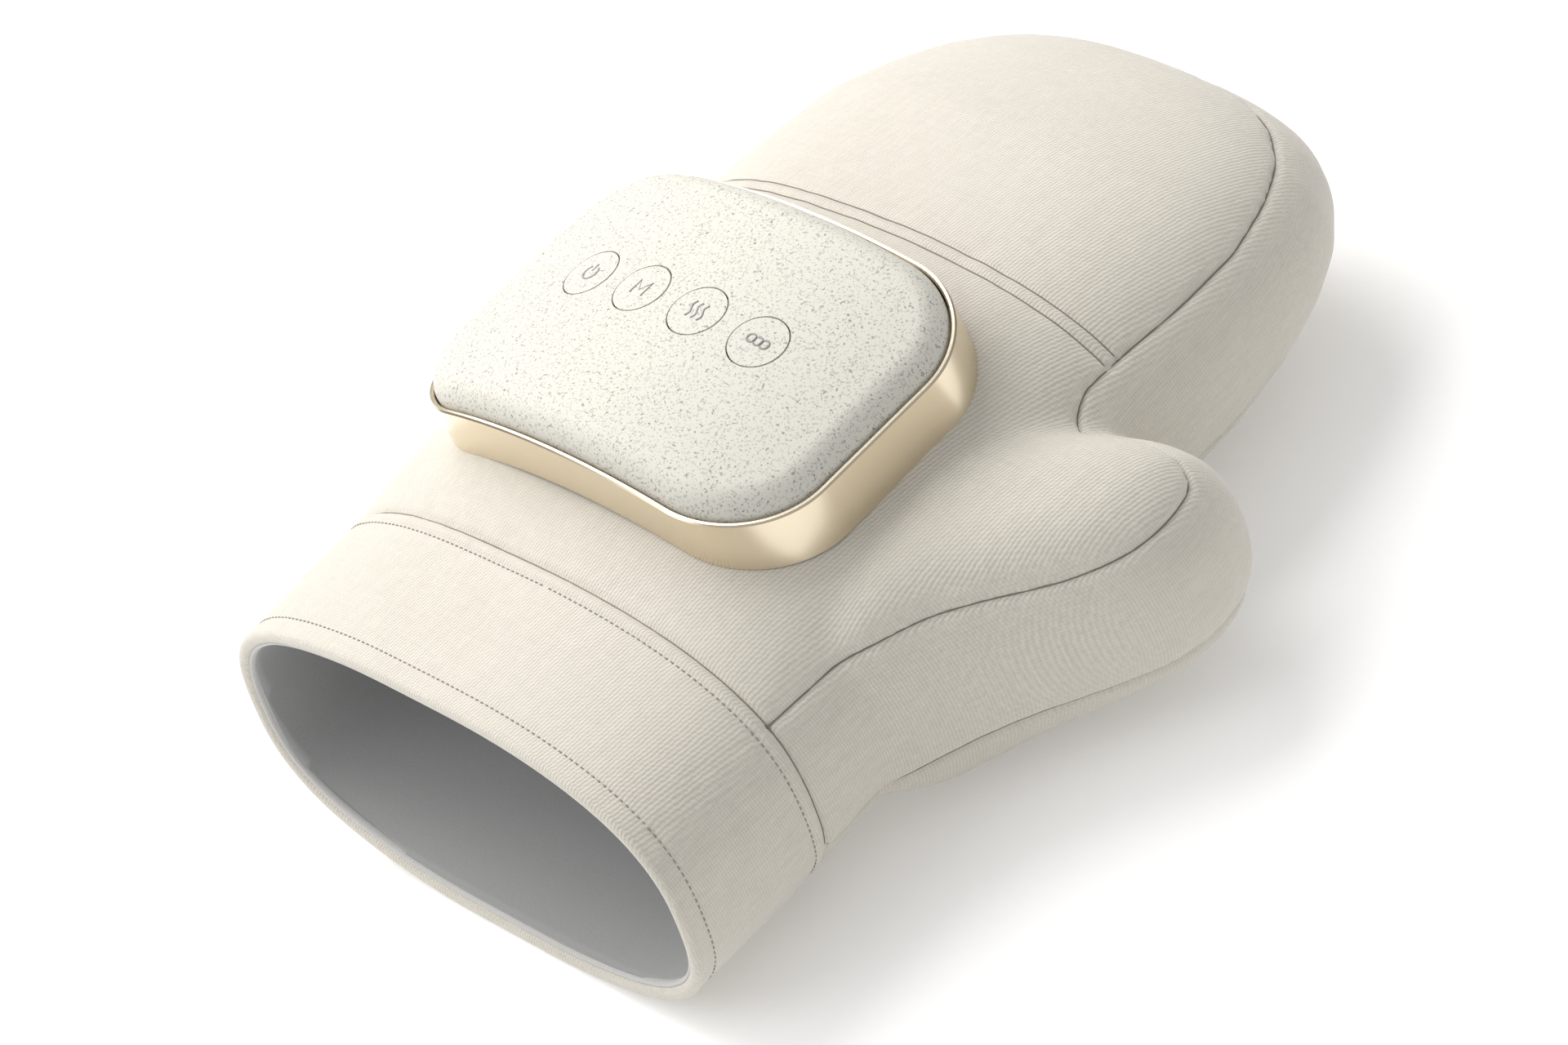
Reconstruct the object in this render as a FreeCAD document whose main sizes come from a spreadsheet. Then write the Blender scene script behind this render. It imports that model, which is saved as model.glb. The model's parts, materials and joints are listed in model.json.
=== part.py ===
"""Mitten-shaped air-compression hand massager, as a parametric FreeCAD document.

A padded fabric mitten with a thumb pocket is open at the wrist. Inside it are a grey lining, air
bladders, a heating film and foam. On the back of the hand sits an arched control box: a tray that
sinks through the top panel, a metal trim ring, a domed lid and four buttons. The tray holds the
battery cell, an air pump, two solenoid valves, a manifold and the boards.

Frame, in millimetres: X across the palm with the thumb on +X, Y from the wrist to the fingertips,
Z up. The origin is on the flat underside, below the middle of the control box.
"""

import FreeCAD, Part
import math
import os
import re
import Sketcher
from FreeCAD import Placement, Rotation, Vector

# ---------------------------------------------------------------- driving dimensions

DIMENSIONS = {
    # mitten shell: the panels share one wall, cut apart at the seams
    "wall": 4.0, "wrist_end": -111.0, "band_seam": -63.0, "finger_seam": 59.0,
    "seam_top": 58.0, "seam_bottom": 20.0, "sole_drop": 3.0, "palm_half": 88.0, "palm_top": 88.0,
    "binding_width": 3.0, "lining_wall": 2.2,
    # the arch shared by the control box and the back of the hand: radii about one line along Y
    "arch_centre": -112.0, "arch_seat": 199.4, "arch_tray": 200.1, "flange_top": 202.1,
    "rail_top": 207.0, "gasket_base": 207.1, "gasket_top": 208.9, "lid_base": 209.0,
    "ring_top": 214.0, "ring_bevel": 0.4, "clamp_top": 194.8, "clamp_base": 192.6,
    # plan outlines of the control box
    "plan_base": 60.0, "plan_height": 70.0, "seat_play": 0.4,
    "ring_width": 139.0, "ring_depth": 90.0, "ring_corner": 27.0, "ring_wall": 1.4,
    "tray_width": 135.8, "tray_depth": 86.8, "tray_corner": 25.4, "rail_wall": 2.6,
    "lid_width": 135.2, "lid_depth": 86.2, "lid_corner": 25.1, "lid_wall": 2.4, "lid_side": 4.0,
    "lid_round": 7.0,
    "tub_width": 112.0, "tub_depth": 66.0, "tub_corner": 5.0, "tub_wall": 2.0, "tub_base": 76.0,
    "window_play": 0.5, "clamp_width": 130.0, "clamp_depth": 82.0, "clamp_corner": 20.0,
    # lid dome: radii across the hand and along it
    "dome_top": 108.8, "dome_across": 190.0, "dome_along": 2000.0,
    # buttons and their switches: depths below the dome
    "button_pitch": 21.5, "button_line": 2.5, "button_radius": 7.7, "button_play": 0.4,
    "button_rise": 0.15, "button_crown": 0.2, "button_skirt": 2.8, "flange_radius": 8.8,
    "flange_thick": 0.8, "stem_radius": 2.2, "stem_depth": 7.3, "key_depth": 8.1,
    "key_radius": 2.8, "key_height": 1.6, "key_board_thick": 1.2, "key_board_width": 86.0,
    "key_board_depth": 15.6, "post_radius": 1.6, "post_across": 21.5, "post_along": 5.2,
    # bladders, heating film and foam, arched about one line of their own
    "soft_centre": -250.0, "soft_middle": 6.0, "soft_corner": 9.0,
    "airbag_top": 74.5, "airbag_thick": 6.0, "airbag_width": 84.0, "airbag_length": 72.0,
    "heater_top": 68.2, "heater_thick": 1.0, "heater_width": 82.0, "heater_length": 70.0,
    "foam_top": 66.9, "foam_thick": 4.8, "foam_width": 80.0, "foam_length": 70.0,
    "finger_bag_top": 72.5, "finger_bag_thick": 6.0, "finger_bag_width": 94.0,
    "finger_bag_length": 44.0, "finger_middle": 85.0,
    "finger_pad_base": 9.8, "finger_pad_thick": 4.6, "finger_pad_width": 82.0,
    "lower_bag_base": 4.7, "lower_bag_thick": 4.8, "lower_bag_width": 82.0,
    "lower_bag_length": 80.0, "lower_middle": 9.0,
    "thumb_bag_base": 58.8, "thumb_bag_thick": 3.2, "thumb_bag_width": 20.0,
    "thumb_bag_length": 20.0, "thumb_bag_across": 94.0, "thumb_bag_along": 18.0,
    "point_plate_base": 9.8, "point_plate_thick": 1.6, "point_height": 2.6, "point_radius": 4.0,
    "point_pitch": 16.0, "point_plate_width": 76.0, "point_plate_length": 74.0,
    # battery
    "cell_radius": 9.2, "cell_length": 65.0, "cell_left": -51.4, "cell_line": -20.2,
    "cell_axis": 88.2, "terminal_radius": 2.8, "terminal_height": 0.9, "holder_wall": 1.3,
    "holder_depth": 19.6, "holder_base": 78.1, "holder_height": 8.0, "holder_play": 0.1,
    # pump
    "pump_radius": 10.0, "pump_line": 20.4, "pump_axis": 88.8, "motor_left": -49.0,
    "motor_length": 25.0, "motor_bore": 8.4, "motor_plate": 1.6, "head_length": 17.0,
    "head_bore": 6.5, "head_cavity": 13.0, "shaft_radius": 1.0, "shaft_play": 0.05,
    "shaft_end_gap": 0.4, "shaft_reach": 34.0, "armature_radius": 7.4, "armature_gap": 2.4,
    "eccentric_radius": 3.4, "eccentric_throw": 1.2, "eccentric_start": 27.5,
    "eccentric_length": 6.0, "cradle_left": -44.0, "cradle_length": 15.0, "cradle_height": 7.6,
    "cradle_play": 0.05,
    # manifold, valves and hoses
    "manifold_left": 11.0, "manifold_length": 32.0, "manifold_line": 21.4,
    "manifold_depth": 18.4, "manifold_base": 78.2, "manifold_height": 5.9, "air_level": 81.1,
    "outlet_pitch": 6.4, "side_outlet": 14.0, "outlet_across": 50.0, "inlet_across": -49.0,
    "inlet_line": 3.0, "barb_radius": 1.15, "barb_length": 3.0,
    "hose_radius": 2.0, "hose_bore": 1.2, "hose_gap": 0.05, "hose_hole": 3.4,
    "valve_first": 19.0, "valve_pitch": 16.0, "valve_width": 13.0, "valve_depth": 12.0,
    "valve_base": 84.2, "valve_height": 13.0, "valve_floor": 2.0, "valve_cavity": 9.2,
    "plunger_radius": 3.0, "plunger_play": 0.08, "plunger_length": 8.0, "plunger_seat": 2.1,
    # boards and the charging socket
    "board_middle": 34.6, "board_length": 34.0, "board_line": -11.0, "board_depth": 34.0,
    "board_base": 82.0, "board_thick": 1.6, "standoff_radius": 2.4, "standoff_across": 28.0,
    "standoff_along": 28.0, "part_gap": 0.02,
    "port_width": 9.0, "port_height": 3.3, "port_depth": 7.4, "port_mouth": 44.6,
    "port_wall": 0.35, "port_cavity": 6.4, "tongue_width": 6.7, "tongue_height": 0.7,
    "tongue_length": 5.2, "port_play": 0.25, "charge_board_base": 90.4,
    "charge_board_thick": 0.8, "charge_board_width": 12.0, "charge_board_back": 23.0,
    "charge_board_front": 39.8,
    # fasteners
    "screw_radius": 1.4, "screw_play": 0.15, "head_radius": 2.6, "head_thick": 1.8,
    "head_play": 0.3, "socket_radius": 1.0, "socket_depth": 1.0,
    "lid_screw_across": 42.0, "lid_screw_along": 36.8, "lid_screw_seat": 87.0,
    "lid_screw_length": 10.0, "boss_radius": 3.6, "boss_top": 90.0, "lid_boss_base": 90.2,
    "frame_screw_across": 59.0, "frame_screw_along": 20.0, "frame_screw_length": 9.2,
    "board_screw_length": 5.0,
}

document = FreeCAD.newDocument("hand_massager")
sheet = document.addObject("Spreadsheet::Sheet", "dims")
for row, (alias, number) in enumerate(DIMENSIONS.items(), start=1):
    sheet.set(f"A{row}", alias)
    sheet.set(f"B{row}", str(number))
    sheet.setAlias(f"B{row}", alias)
document.recompute()


def value(text):
    """The number that an expression over the sheet's aliases gives."""
    return float(sheet.evalExpression(str(text)))


def bind(item, prop, text):
    """Binds a property to an expression over the sheet's aliases."""
    item.setExpression(prop, re.sub(r"[a-z_]+", lambda word: "dims." + word.group(), str(text)))


# ---------------------------------------------------------------- building helpers


def origin_plane(body, role):
    return [f for f in body.Origin.OriginFeatures if f.Role == role][0]


def start_sketch(body, name, plane, across="0", along="0", level="0"):
    """A sketch on one of the body's own origin planes, moved by three bound distances."""
    sketch = body.newObject("Sketcher::SketchObject", name)
    sketch.AttachmentSupport = (origin_plane(body, plane), [""])
    sketch.MapMode = "FlatFace"
    for axis, text in (("x", across), ("y", along), ("z", level)):
        bind(sketch, f"AttachmentOffset.Base.{axis}", text)
    return sketch


def name_size(sketch, constraint, name, text):
    """Adds a driving constraint and binds it to the sheet."""
    index = sketch.addConstraint(constraint)
    sketch.renameConstraint(index, name)
    bind(sketch, f"Constraints.{name}", text)


def plan_body(label, width, depth, level, height, across="0", along="0", corner=None):
    """A PartDesign body: a padded rectangle, with its four upright edges rounded."""
    body = document.addObject("PartDesign::Body", label)
    sketch = start_sketch(body, label + "_outline", "XY_Plane", across, along, level)
    half_w, half_d = value(width) / 2, value(depth) / 2
    corners = [Vector(sx * half_w, sy * half_d) for sx, sy in ((-1, -1), (1, -1), (1, 1), (-1, 1))]
    for i in range(4):
        sketch.addGeometry(Part.LineSegment(corners[i], corners[(i + 1) % 4]))
    for i, way in enumerate(("Horizontal", "Vertical", "Horizontal", "Vertical")):
        sketch.addConstraint(Sketcher.Constraint("Coincident", i, 2, (i + 1) % 4, 1))
        sketch.addConstraint(Sketcher.Constraint(way, i))
    sketch.addConstraint(Sketcher.Constraint("Symmetric", 0, 1, 1, 2, -1, 1))
    name_size(sketch, Sketcher.Constraint("DistanceX", 0, 1, 0, 2, 2 * half_w), "wide", width)
    name_size(sketch, Sketcher.Constraint("DistanceY", 1, 1, 1, 2, 2 * half_d), "deep", depth)
    pad = body.newObject("PartDesign::Pad", label + "_pad")
    pad.Profile = sketch
    bind(pad, "Length", height)
    document.recompute()
    if corner is not None:
        upright = [f"Edge{i}" for i, edge in enumerate(pad.Shape.Edges, start=1)
                   if abs(edge.tangentAt(edge.FirstParameter).z) > 0.5]
        fillet = body.newObject("PartDesign::Fillet", label + "_corners")
        fillet.Base = (pad, upright)
        bind(fillet, "Radius", corner)
        document.recompute()
    return body


def turned_body(label, profile, place=Placement()):
    """A PartDesign body turned about its Z axis from bound (radius, height) points."""
    body = document.addObject("PartDesign::Body", label)
    sketch = start_sketch(body, label + "_profile", "XZ_Plane")
    points = [Vector(value(radius), value(height)) for radius, height in profile]
    count = len(points)
    for i in range(count):
        sketch.addGeometry(Part.LineSegment(points[i], points[(i + 1) % count]))
    for i, (radius, height) in enumerate(profile):
        sketch.addConstraint(Sketcher.Constraint("Coincident", i, 2, (i + 1) % count, 1))
        if value(radius) == 0:
            sketch.addConstraint(Sketcher.Constraint("PointOnObject", i, 1, -2))
        else:
            name_size(sketch, Sketcher.Constraint("DistanceX", -1, 1, i, 1, points[i].x),
                      f"radius{i}", radius)
        if value(height) == 0:
            sketch.addConstraint(Sketcher.Constraint("PointOnObject", i, 1, -1))
        else:
            name_size(sketch, Sketcher.Constraint("DistanceY", -1, 1, i, 1, points[i].y),
                      f"height{i}", height)
    turn = body.newObject("PartDesign::Revolution", label + "_turn")
    turn.Profile = sketch
    turn.ReferenceAxis = (sketch, ["V_Axis"])
    turn.Angle = 360
    body.Placement = place
    document.recompute()
    return body


def rod(name, radius, length, place):
    """A Part cylinder, bound in size, along the Z axis of its placement."""
    item = document.addObject("Part::Cylinder", name)
    bind(item, "Radius", radius)
    bind(item, "Height", length)
    item.Placement = place
    return item


def block(name, width, depth, height, corner):
    """A Part box, bound in size and place, from its lowest corner."""
    item = document.addObject("Part::Box", name)
    for prop, text in zip(("Length", "Width", "Height"), (width, depth, height)):
        bind(item, prop, text)
    for axis, text in zip("xyz", corner):
        bind(item, f"Placement.Base.{axis}", text)
    return item


def combine(kind, label, first, *others):
    """A chain of Part cuts, or one Part common, fusion or compound, under one label."""
    if kind == "Cut":
        for number, tool in enumerate(others):
            item = document.addObject("Part::Cut", f"{label}_cut{number}")
            item.Base, item.Tool = first, tool
            first = item
    elif kind == "Common":
        item = document.addObject("Part::Common", label + "_common")
        item.Base, item.Tool = first, others[0]
    elif kind == "Fuse":
        item = document.addObject("Part::MultiFuse", label + "_fuse")
        item.Shapes = [first, *others]
    else:
        item = document.addObject("Part::Compound", label + "_group")
        item.Links = [first, *others]
    item.Label = label
    document.recompute()
    return item


ALONG_Y = Rotation(Vector(1, 0, 0), -90)
ALONG_X = Rotation(Vector(0, 1, 0), 90)
ROD_REACH = 400.0


def arch_rod(name, radius, centre):
    """A long rod along Y, about the centre line of an arch."""
    place = Placement(Vector(0, -ROD_REACH / 2, value(centre)), ALONG_Y)
    item = rod(name, radius, ROD_REACH, place)
    bind(item, "Placement.Base.z", centre)
    return item


def arched(label, plan, low, high, centre="arch_centre"):
    """The part of a plan body that lies between two radii of an arch."""
    under = combine("Common", label + "_under", plan, arch_rod(label + "_high", high, centre))
    return combine("Cut", label, under, arch_rod(label + "_low", low, centre))


def hoop_plan(label, width, depth, corner, inset):
    """A plan body with its middle cut out, leaving a wall of the given thickness."""
    outer = plan_body(label + "_outer", width, depth, "plan_base", "plan_height", corner=corner)
    inner = plan_body(label + "_inner", f"{width} - 2 * {inset}", f"{depth} - 2 * {inset}",
                      "plan_base", "plan_height", corner=f"{corner} - {inset}")
    return combine("Cut", label, outer, inner)


def at_arch(across, radius, centre, along="0"):
    """A placement whose origin is on the arch's centre line and whose Z axis tilts out to across."""
    tilt = math.degrees(math.asin(value(across) / value(radius)))
    return Placement(Vector(0, value(along), value(centre)), Rotation(Vector(0, 1, 0), tilt))


def shape_feature(label, shape):
    """A Part::Feature for a lofted or swept shape."""
    item = document.addObject("Part::Feature", label)
    item.Shape = shape
    item.Placement = Placement()
    return item


# ---------------------------------------------------------------- fabric shell and lining

SECTION_POINTS = 28
HUGE = 600.0
HALF = value("palm_half")
CREST = value("palm_top")
SOLE = -value("sole_drop")
WRIST = value("wrist_end")
BAND = value("band_seam")
wall = value("wall")
skin = value("lining_wall")

# y, half width, lowest, highest, roundness
HAND_STATIONS = [
    (WRIST, HALF - 1, SOLE, CREST - 9.5, 3.0), (BAND - 22, HALF - 0.5, SOLE, CREST - 7.6, 2.9),
    (BAND, HALF - 0.3, SOLE, CREST - 5.2, 2.7), (-46, HALF, SOLE, CREST - 0.8, 2.55),
    (-20, HALF, SOLE, CREST, 2.5), (15, HALF, SOLE, CREST, 2.5), (46, HALF, SOLE, CREST - 0.6, 2.5),
    (62, HALF, SOLE + 0.6, CREST - 4, 2.5), (85, HALF, SOLE + 2.5, CREST - 7, 2.5),
    (105, 85.8, 1.0, 78.0, 2.5), (125, 80.5, 5.0, 72.5, 2.4), (140, 70.0, 10.0, 66.5, 2.3),
    (150, 56.5, 16.0, 60.5, 2.2), (156, 38.0, 24.0, 52.5, 2.1),
]
# x, middle y, half length, level, rise
THUMB_STATIONS = [
    (56, -4, 56, 39, 34), (84, -1, 52, 39, 33.5), (95, 11, 41, 39, 31.5), (105, 19, 33.5, 39, 29),
    (115, 25, 27, 39, 26), (123, 27.5, 20, 39, 21), (128, 28, 13.5, 39, 15), (130.5, 28, 7, 39, 8.5),
]
# the lining hugs the cuff, then narrows to leave room for the bladders
LINING_STATIONS = [
    (WRIST + 0.6, HALF - 5.6, 4.5, CREST - 14.3, 3.0), (BAND - 20, HALF - 5.4, 4.7, CREST - 12.6, 2.9),
    (BAND + 1, HALF - 6.5, 5.6, CREST - 13.0, 2.7), (-46, 79, 9.5, 67.0, 2.5),
    (-33, 76.5, 14.8, 61.2, 2.5), (0, 75.5, 15.5, 60.4, 2.5), (45, 75, 15.6, 60.4, 2.5),
    (72, 74, 17, 61, 2.5), (100, 69, 19.5, 60, 2.4), (120, 60, 23.5, 57, 2.3),
    (134, 46, 29, 52.5, 2.2), (141, 30, 34, 47.5, 2.1),
]
THUMB_LINING_STATIONS = [
    (50, -2, 40, 38, 19), (84, 3, 37, 38, 18), (96, 14, 28, 38, 16.5), (106, 20, 21.5, 38, 15),
    (115, 25, 15.5, 38, 12), (121, 27.5, 9, 38, 8),
]
THUMB_ROUNDNESS = 2.4
FAR_FINGERS = 100
FAR_THUMB = 112


def oval(half, low, high, roundness, place):
    """A closed superellipse wire in four edges, carried to its station by place(u, v)."""
    middle, rise = (low + high) / 2, (high - low) / 2
    points = []
    for i in range(SECTION_POINTS):
        angle = 2 * math.pi * (i + 0.5) / SECTION_POINTS
        c, s = math.cos(angle), math.sin(angle)
        u = half * math.copysign(abs(c) ** (2 / roundness), c)
        v = middle + rise * math.copysign(abs(s) ** (2 / roundness), s)
        points.append(place(u, v))
    curve = Part.BSplineCurve()
    curve.interpolate(Points=points, PeriodicFlag=True)
    quarter = (curve.LastParameter - curve.FirstParameter) / 4
    marks = [curve.FirstParameter + quarter * i for i in range(5)]
    return Part.Wire([curve.toShape(start, end) for start, end in zip(marks, marks[1:])])


def hand_loft(stations, trim=0.0):
    """The palm and fingers, lofted through ovals across X and shrunk by trim."""
    wires = []
    for y, half, low, high, roundness in stations:
        station = y - trim if y > FAR_FINGERS else y
        wires.append(oval(half - trim, low + trim, high - trim, roundness,
                          lambda u, v, y=station: Vector(u, y, v)))
    return Part.makeLoft(wires, True, True)


def thumb_loft(stations, trim=0.0):
    """The thumb, lofted through ovals across Y and shrunk by trim."""
    wires = []
    for x, middle, half, level, rise in stations:
        station = x - trim if x > FAR_THUMB else x
        wires.append(oval(half - trim, level - rise + trim, level + rise - trim, THUMB_ROUNDNESS,
                          lambda u, v, x=station, m=middle: Vector(x, m + u, v)))
    return Part.makeLoft(wires, True, True)


def slab(low, high, axis):
    """A huge block between two levels of one axis."""
    size, corner = [HUGE] * 3, [-HUGE / 2] * 3
    size[axis], corner[axis] = high - low, low
    return Part.makeBox(*size, Vector(*corner))


def opened(stations):
    """The same stations with the first one moved out past the wrist, for cutting it open."""
    return [(WRIST - 1, *stations[0][1:]), *stations[1:]]


outer_form = hand_loft(HAND_STATIONS).fuse(thumb_loft(THUMB_STATIONS)).common(slab(0, HUGE, 2))
inner_form = hand_loft(opened(HAND_STATIONS), wall).fuse(thumb_loft(THUMB_STATIONS, wall))
shell = outer_form.cut(inner_form.common(slab(wall, HUGE, 2)))

binding_end = WRIST + value("binding_width")
body_shell = shell.common(slab(BAND, HUGE, 1))
top_shell = body_shell.common(slab(value("seam_top"), HUGE, 2))
shape_feature("cuff_binding", shell.common(slab(WRIST, binding_end, 1)))
shape_feature("cuff_band", shell.common(slab(binding_end, BAND, 1)))
shape_feature("bottom_panel", body_shell.common(slab(0, value("seam_bottom"), 2)))
shape_feature("side_gusset", body_shell.common(slab(value("seam_bottom"), value("seam_top"), 2)))
shape_feature("finger_top_panel", top_shell.common(slab(value("finger_seam"), HUGE, 1)))
palm_blank = shape_feature("palm_blank", top_shell.common(slab(BAND, value("finger_seam"), 1)))

lining_form = hand_loft(LINING_STATIONS).fuse(thumb_loft(THUMB_LINING_STATIONS))
hand_space = hand_loft(opened(LINING_STATIONS), skin).fuse(thumb_loft(THUMB_LINING_STATIONS, skin))
shape_feature("hand_lining", lining_form.cut(hand_space))

# ---------------------------------------------------------------- palm panel, clamp frame, tray

CORNERS = ((-1, -1), (1, -1), (1, 1), (-1, 1))
frame_screw_places = [at_arch(f"{sx} * frame_screw_across", "arch_seat", "arch_centre",
                              f"{sy} * frame_screw_along") for sx, sy in CORNERS]


def frame_screw_holes(name):
    """The four tilted clearance holes for the screws that clamp the fabric to the tray."""
    return [rod(f"{name}_hole{i}", "screw_radius + screw_play", "ring_top", place)
            for i, place in enumerate(frame_screw_places)]


def tub_window(name):
    return plan_body(name, "tub_width + 2 * window_play", "tub_depth + 2 * window_play",
                     "plan_base", "plan_height", corner="tub_corner + window_play")


seat_plan = plan_body("seat_plan", "ring_width + 2 * seat_play", "ring_depth + 2 * seat_play",
                      "plan_base", "plan_height", corner="ring_corner + seat_play")
seat_recess = combine("Cut", "seat_recess", seat_plan,
                      arch_rod("seat_rod", "arch_seat", "arch_centre"))
combine("Cut", "palm_top_panel", palm_blank, seat_recess, tub_window("panel_window"),
        *frame_screw_holes("panel"))

clamp_plan = plan_body("clamp_plan", "clamp_width", "clamp_depth", "plan_base", "plan_height",
                       corner="clamp_corner")
clamp_blank = arched("clamp_blank", clamp_plan, "clamp_base", "clamp_top")
combine("Cut", "clamp_frame", clamp_blank, tub_window("clamp_window"), *frame_screw_holes("clamp"))

tray_plan = plan_body("tray_plan", "tray_width", "tray_depth", "plan_base", "plan_height",
                      corner="tray_corner")
flange = arched("tray_flange", tray_plan, "arch_tray", "flange_top")
rail_plan = hoop_plan("rail_plan", "tray_width", "tray_depth", "tray_corner", "rail_wall")
rail = arched("tray_rail", rail_plan, "arch_tray", "rail_top")
tub_block = plan_body("tub_block", "tub_width", "tub_depth", "tub_base", "plan_height",
                      corner="tub_corner")
tub = combine("Common", "tub", tub_block, arch_rod("tub_rod", "flange_top", "arch_centre"))
tub_inside = plan_body("tub_inside", "tub_width - 2 * tub_wall", "tub_depth - 2 * tub_wall",
                       "tub_base + tub_wall", "plan_height", corner="tub_corner - tub_wall")


def upright(x, y, z):
    """A placement with no tilt, at three expressions over the sheet."""
    return Placement(Vector(value(x), value(y), value(z)), Rotation())


lid_screw_spots = [(f"{sx} * lid_screw_across", f"{sy} * lid_screw_along") for sx, sy in CORNERS]
standoff_spots = [(f"board_middle + {sx} * standoff_across / 2",
                   f"board_line + {sy} * standoff_along / 2") for sx, sy in CORNERS]
hose_spots = [("outlet_across", "manifold_line"), ("outlet_across", "manifold_line + outlet_pitch"),
              ("inlet_across", "inlet_line")]

bosses = [rod(f"tray_boss{i}", "boss_radius", "boss_top - plan_base", upright(x, y, "plan_base"))
          for i, (x, y) in enumerate(lid_screw_spots)]
boss_group = combine("Fuse", "boss_group", *bosses)
boss_feet = combine("Cut", "boss_feet", boss_group, arch_rod("boss_rod", "arch_tray", "arch_centre"))
standoffs = [rod(f"standoff{i}", "standoff_radius", "board_base - tub_base - part_gap",
                 upright(x, y, "tub_base")) for i, (x, y) in enumerate(standoff_spots)]
tray_holes = frame_screw_holes("tray")
for i, (x, y) in enumerate(lid_screw_spots):
    tray_holes.append(rod(f"lid_screw_hole{i}", "screw_radius + screw_play", "plan_height",
                          upright(x, y, "plan_base")))
    tray_holes.append(rod(f"lid_screw_sink{i}", "head_radius + head_play",
                          "lid_screw_seat - plan_base", upright(x, y, "plan_base")))
for i, (x, y) in enumerate(standoff_spots):
    tray_holes.append(rod(f"standoff_hole{i}", "screw_radius + part_gap", "plan_height",
                          upright(x, y, "tub_base + tub_wall / 2")))
for i, (x, y) in enumerate(hose_spots):
    tray_holes.append(rod(f"hose_hole{i}", "hose_hole", "3 * tub_wall",
                          upright(x, y, "tub_base - tub_wall")))
port_level = "charge_board_base + charge_board_thick + port_height / 2"


def port_slot(name):
    """The slot that lets a charging plug through a wall of the box."""
    return block(name, "port_width + 2 * port_play", "ring_depth / 2",
                 "port_height + 2 * port_play",
                 ("-port_width / 2 - port_play", "charge_board_front - port_play",
                  f"{port_level} - port_height / 2 - port_play"))


tray_shell = combine("Cut", "tray_shell", combine("Fuse", "tray_solid", flange, rail, tub),
                     tub_inside)
combine("Cut", "control_tray", combine("Fuse", "tray_fittings", tray_shell, boss_feet, *standoffs),
        *tray_holes, port_slot("tray_slot"))

# ---------------------------------------------------------------- ring, gasket, lid

ring_plan = hoop_plan("ring_plan", "ring_width", "ring_depth", "ring_corner", "ring_wall")
ring_blank = combine("Cut", "ring_blank", arched("ring_arch", ring_plan, "arch_tray", "ring_top"),
                     port_slot("ring_slot"))


def edges_beyond(shape, radius, limit):
    """The indices of the edges whose middles lie beyond a radius of the arch, with a fillet's size."""
    centre = value("arch_centre")
    picked = []
    for index, edge in enumerate(shape.Edges, start=1):
        middle = edge.valueAt((edge.FirstParameter + edge.LastParameter) / 2)
        if math.hypot(middle.x, middle.z - centre) > value(radius):
            picked.append((index, value(limit), value(limit)))
    return picked


trim_ring = document.addObject("Part::Chamfer", "ring_chamfer")
trim_ring.Base = ring_blank
trim_ring.Edges = edges_beyond(ring_blank.Shape, "ring_top - part_gap", "ring_bevel")
trim_ring.Label = "trim_ring"

arched("lid_gasket", rail_plan, "gasket_base", "gasket_top")


def dome(name, inset):
    """A barrel about a line along Y: round across the hand, slightly crowned along it.

    Its outline is drawn underneath, so that the seam stays away from the rounded edges."""
    along, across = value("dome_along"), value("dome_across") - inset
    axis = value("dome_top - dome_across")
    reach = value("ring_depth") / 2 + value("lid_wall")
    drop = along - math.sqrt(along ** 2 - reach ** 2)
    left, right = Vector(0, -reach, axis - across + drop), Vector(0, reach, axis - across + drop)
    axis_left, axis_right = Vector(0, -reach, axis), Vector(0, reach, axis)
    outline = Part.Wire([Part.Arc(left, Vector(0, 0, axis - across), right).toShape(),
                         Part.makeLine(right, axis_right), Part.makeLine(axis_right, axis_left),
                         Part.makeLine(axis_left, left)])
    return shape_feature(name, Part.Face(outline).revolve(axis_left, Vector(0, 1, 0), 360))


lid_plan = plan_body("lid_plan", "lid_width", "lid_depth", "plan_base", "plan_height",
                     corner="lid_corner")
lid_hollow = plan_body("lid_hollow", "lid_width - 2 * lid_side", "lid_depth - 2 * lid_side",
                       "plan_base", "plan_height", corner="lid_corner - lid_side")
lid_blank = combine("Cut", "lid_blank",
                    combine("Common", "lid_crown", lid_plan, dome("dome_outside", 0.0)),
                    arch_rod("lid_rod", "lid_base", "arch_centre"))
lid_round = document.addObject("Part::Fillet", "lid_rounding")
lid_round.Base = lid_blank
lid_round.Edges = edges_beyond(lid_blank.Shape, "ring_top + 1", "lid_round")
document.recompute()

dome_inside = dome("dome_inside", value("lid_wall"))
lid_cavity = combine("Common", "lid_cavity", lid_hollow, dome_inside)
lid_bosses = [rod(f"lid_boss{i}", "boss_radius", "plan_height", upright(x, y, "lid_boss_base"))
              for i, (x, y) in enumerate(lid_screw_spots)]
lid_pillars = combine("Common", "lid_pillars", combine("Fuse", "lid_boss_group", *lid_bosses),
                      lid_cavity)
post_spots = [(f"{sx} * post_across", f"button_line + {sy} * post_along") for sx, sy in CORNERS]
posts = [rod(f"key_post{i}", "post_radius", "plan_height", upright(x, y, "plan_base"))
         for i, (x, y) in enumerate(post_spots)]
key_posts = arched("key_posts", combine("Fuse", "post_group", *posts),
                   "dome_across - key_depth - key_height + part_gap",
                   "dome_across - lid_wall", "dome_top - dome_across")
lid_shell = combine("Cut", "lid_shell", lid_round, lid_cavity)
lid_fittings = combine("Fuse", "lid_fittings", lid_shell, lid_pillars, key_posts)
button_places = [at_arch(f"({i} - 1.5) * button_pitch", "dome_across", "dome_top - dome_across",
                         "button_line") for i in range(4)]
lid_holes = [rod(f"button_hole{i}", "button_radius + button_play", "dome_across + lid_wall", place)
             for i, place in enumerate(button_places)]
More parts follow.
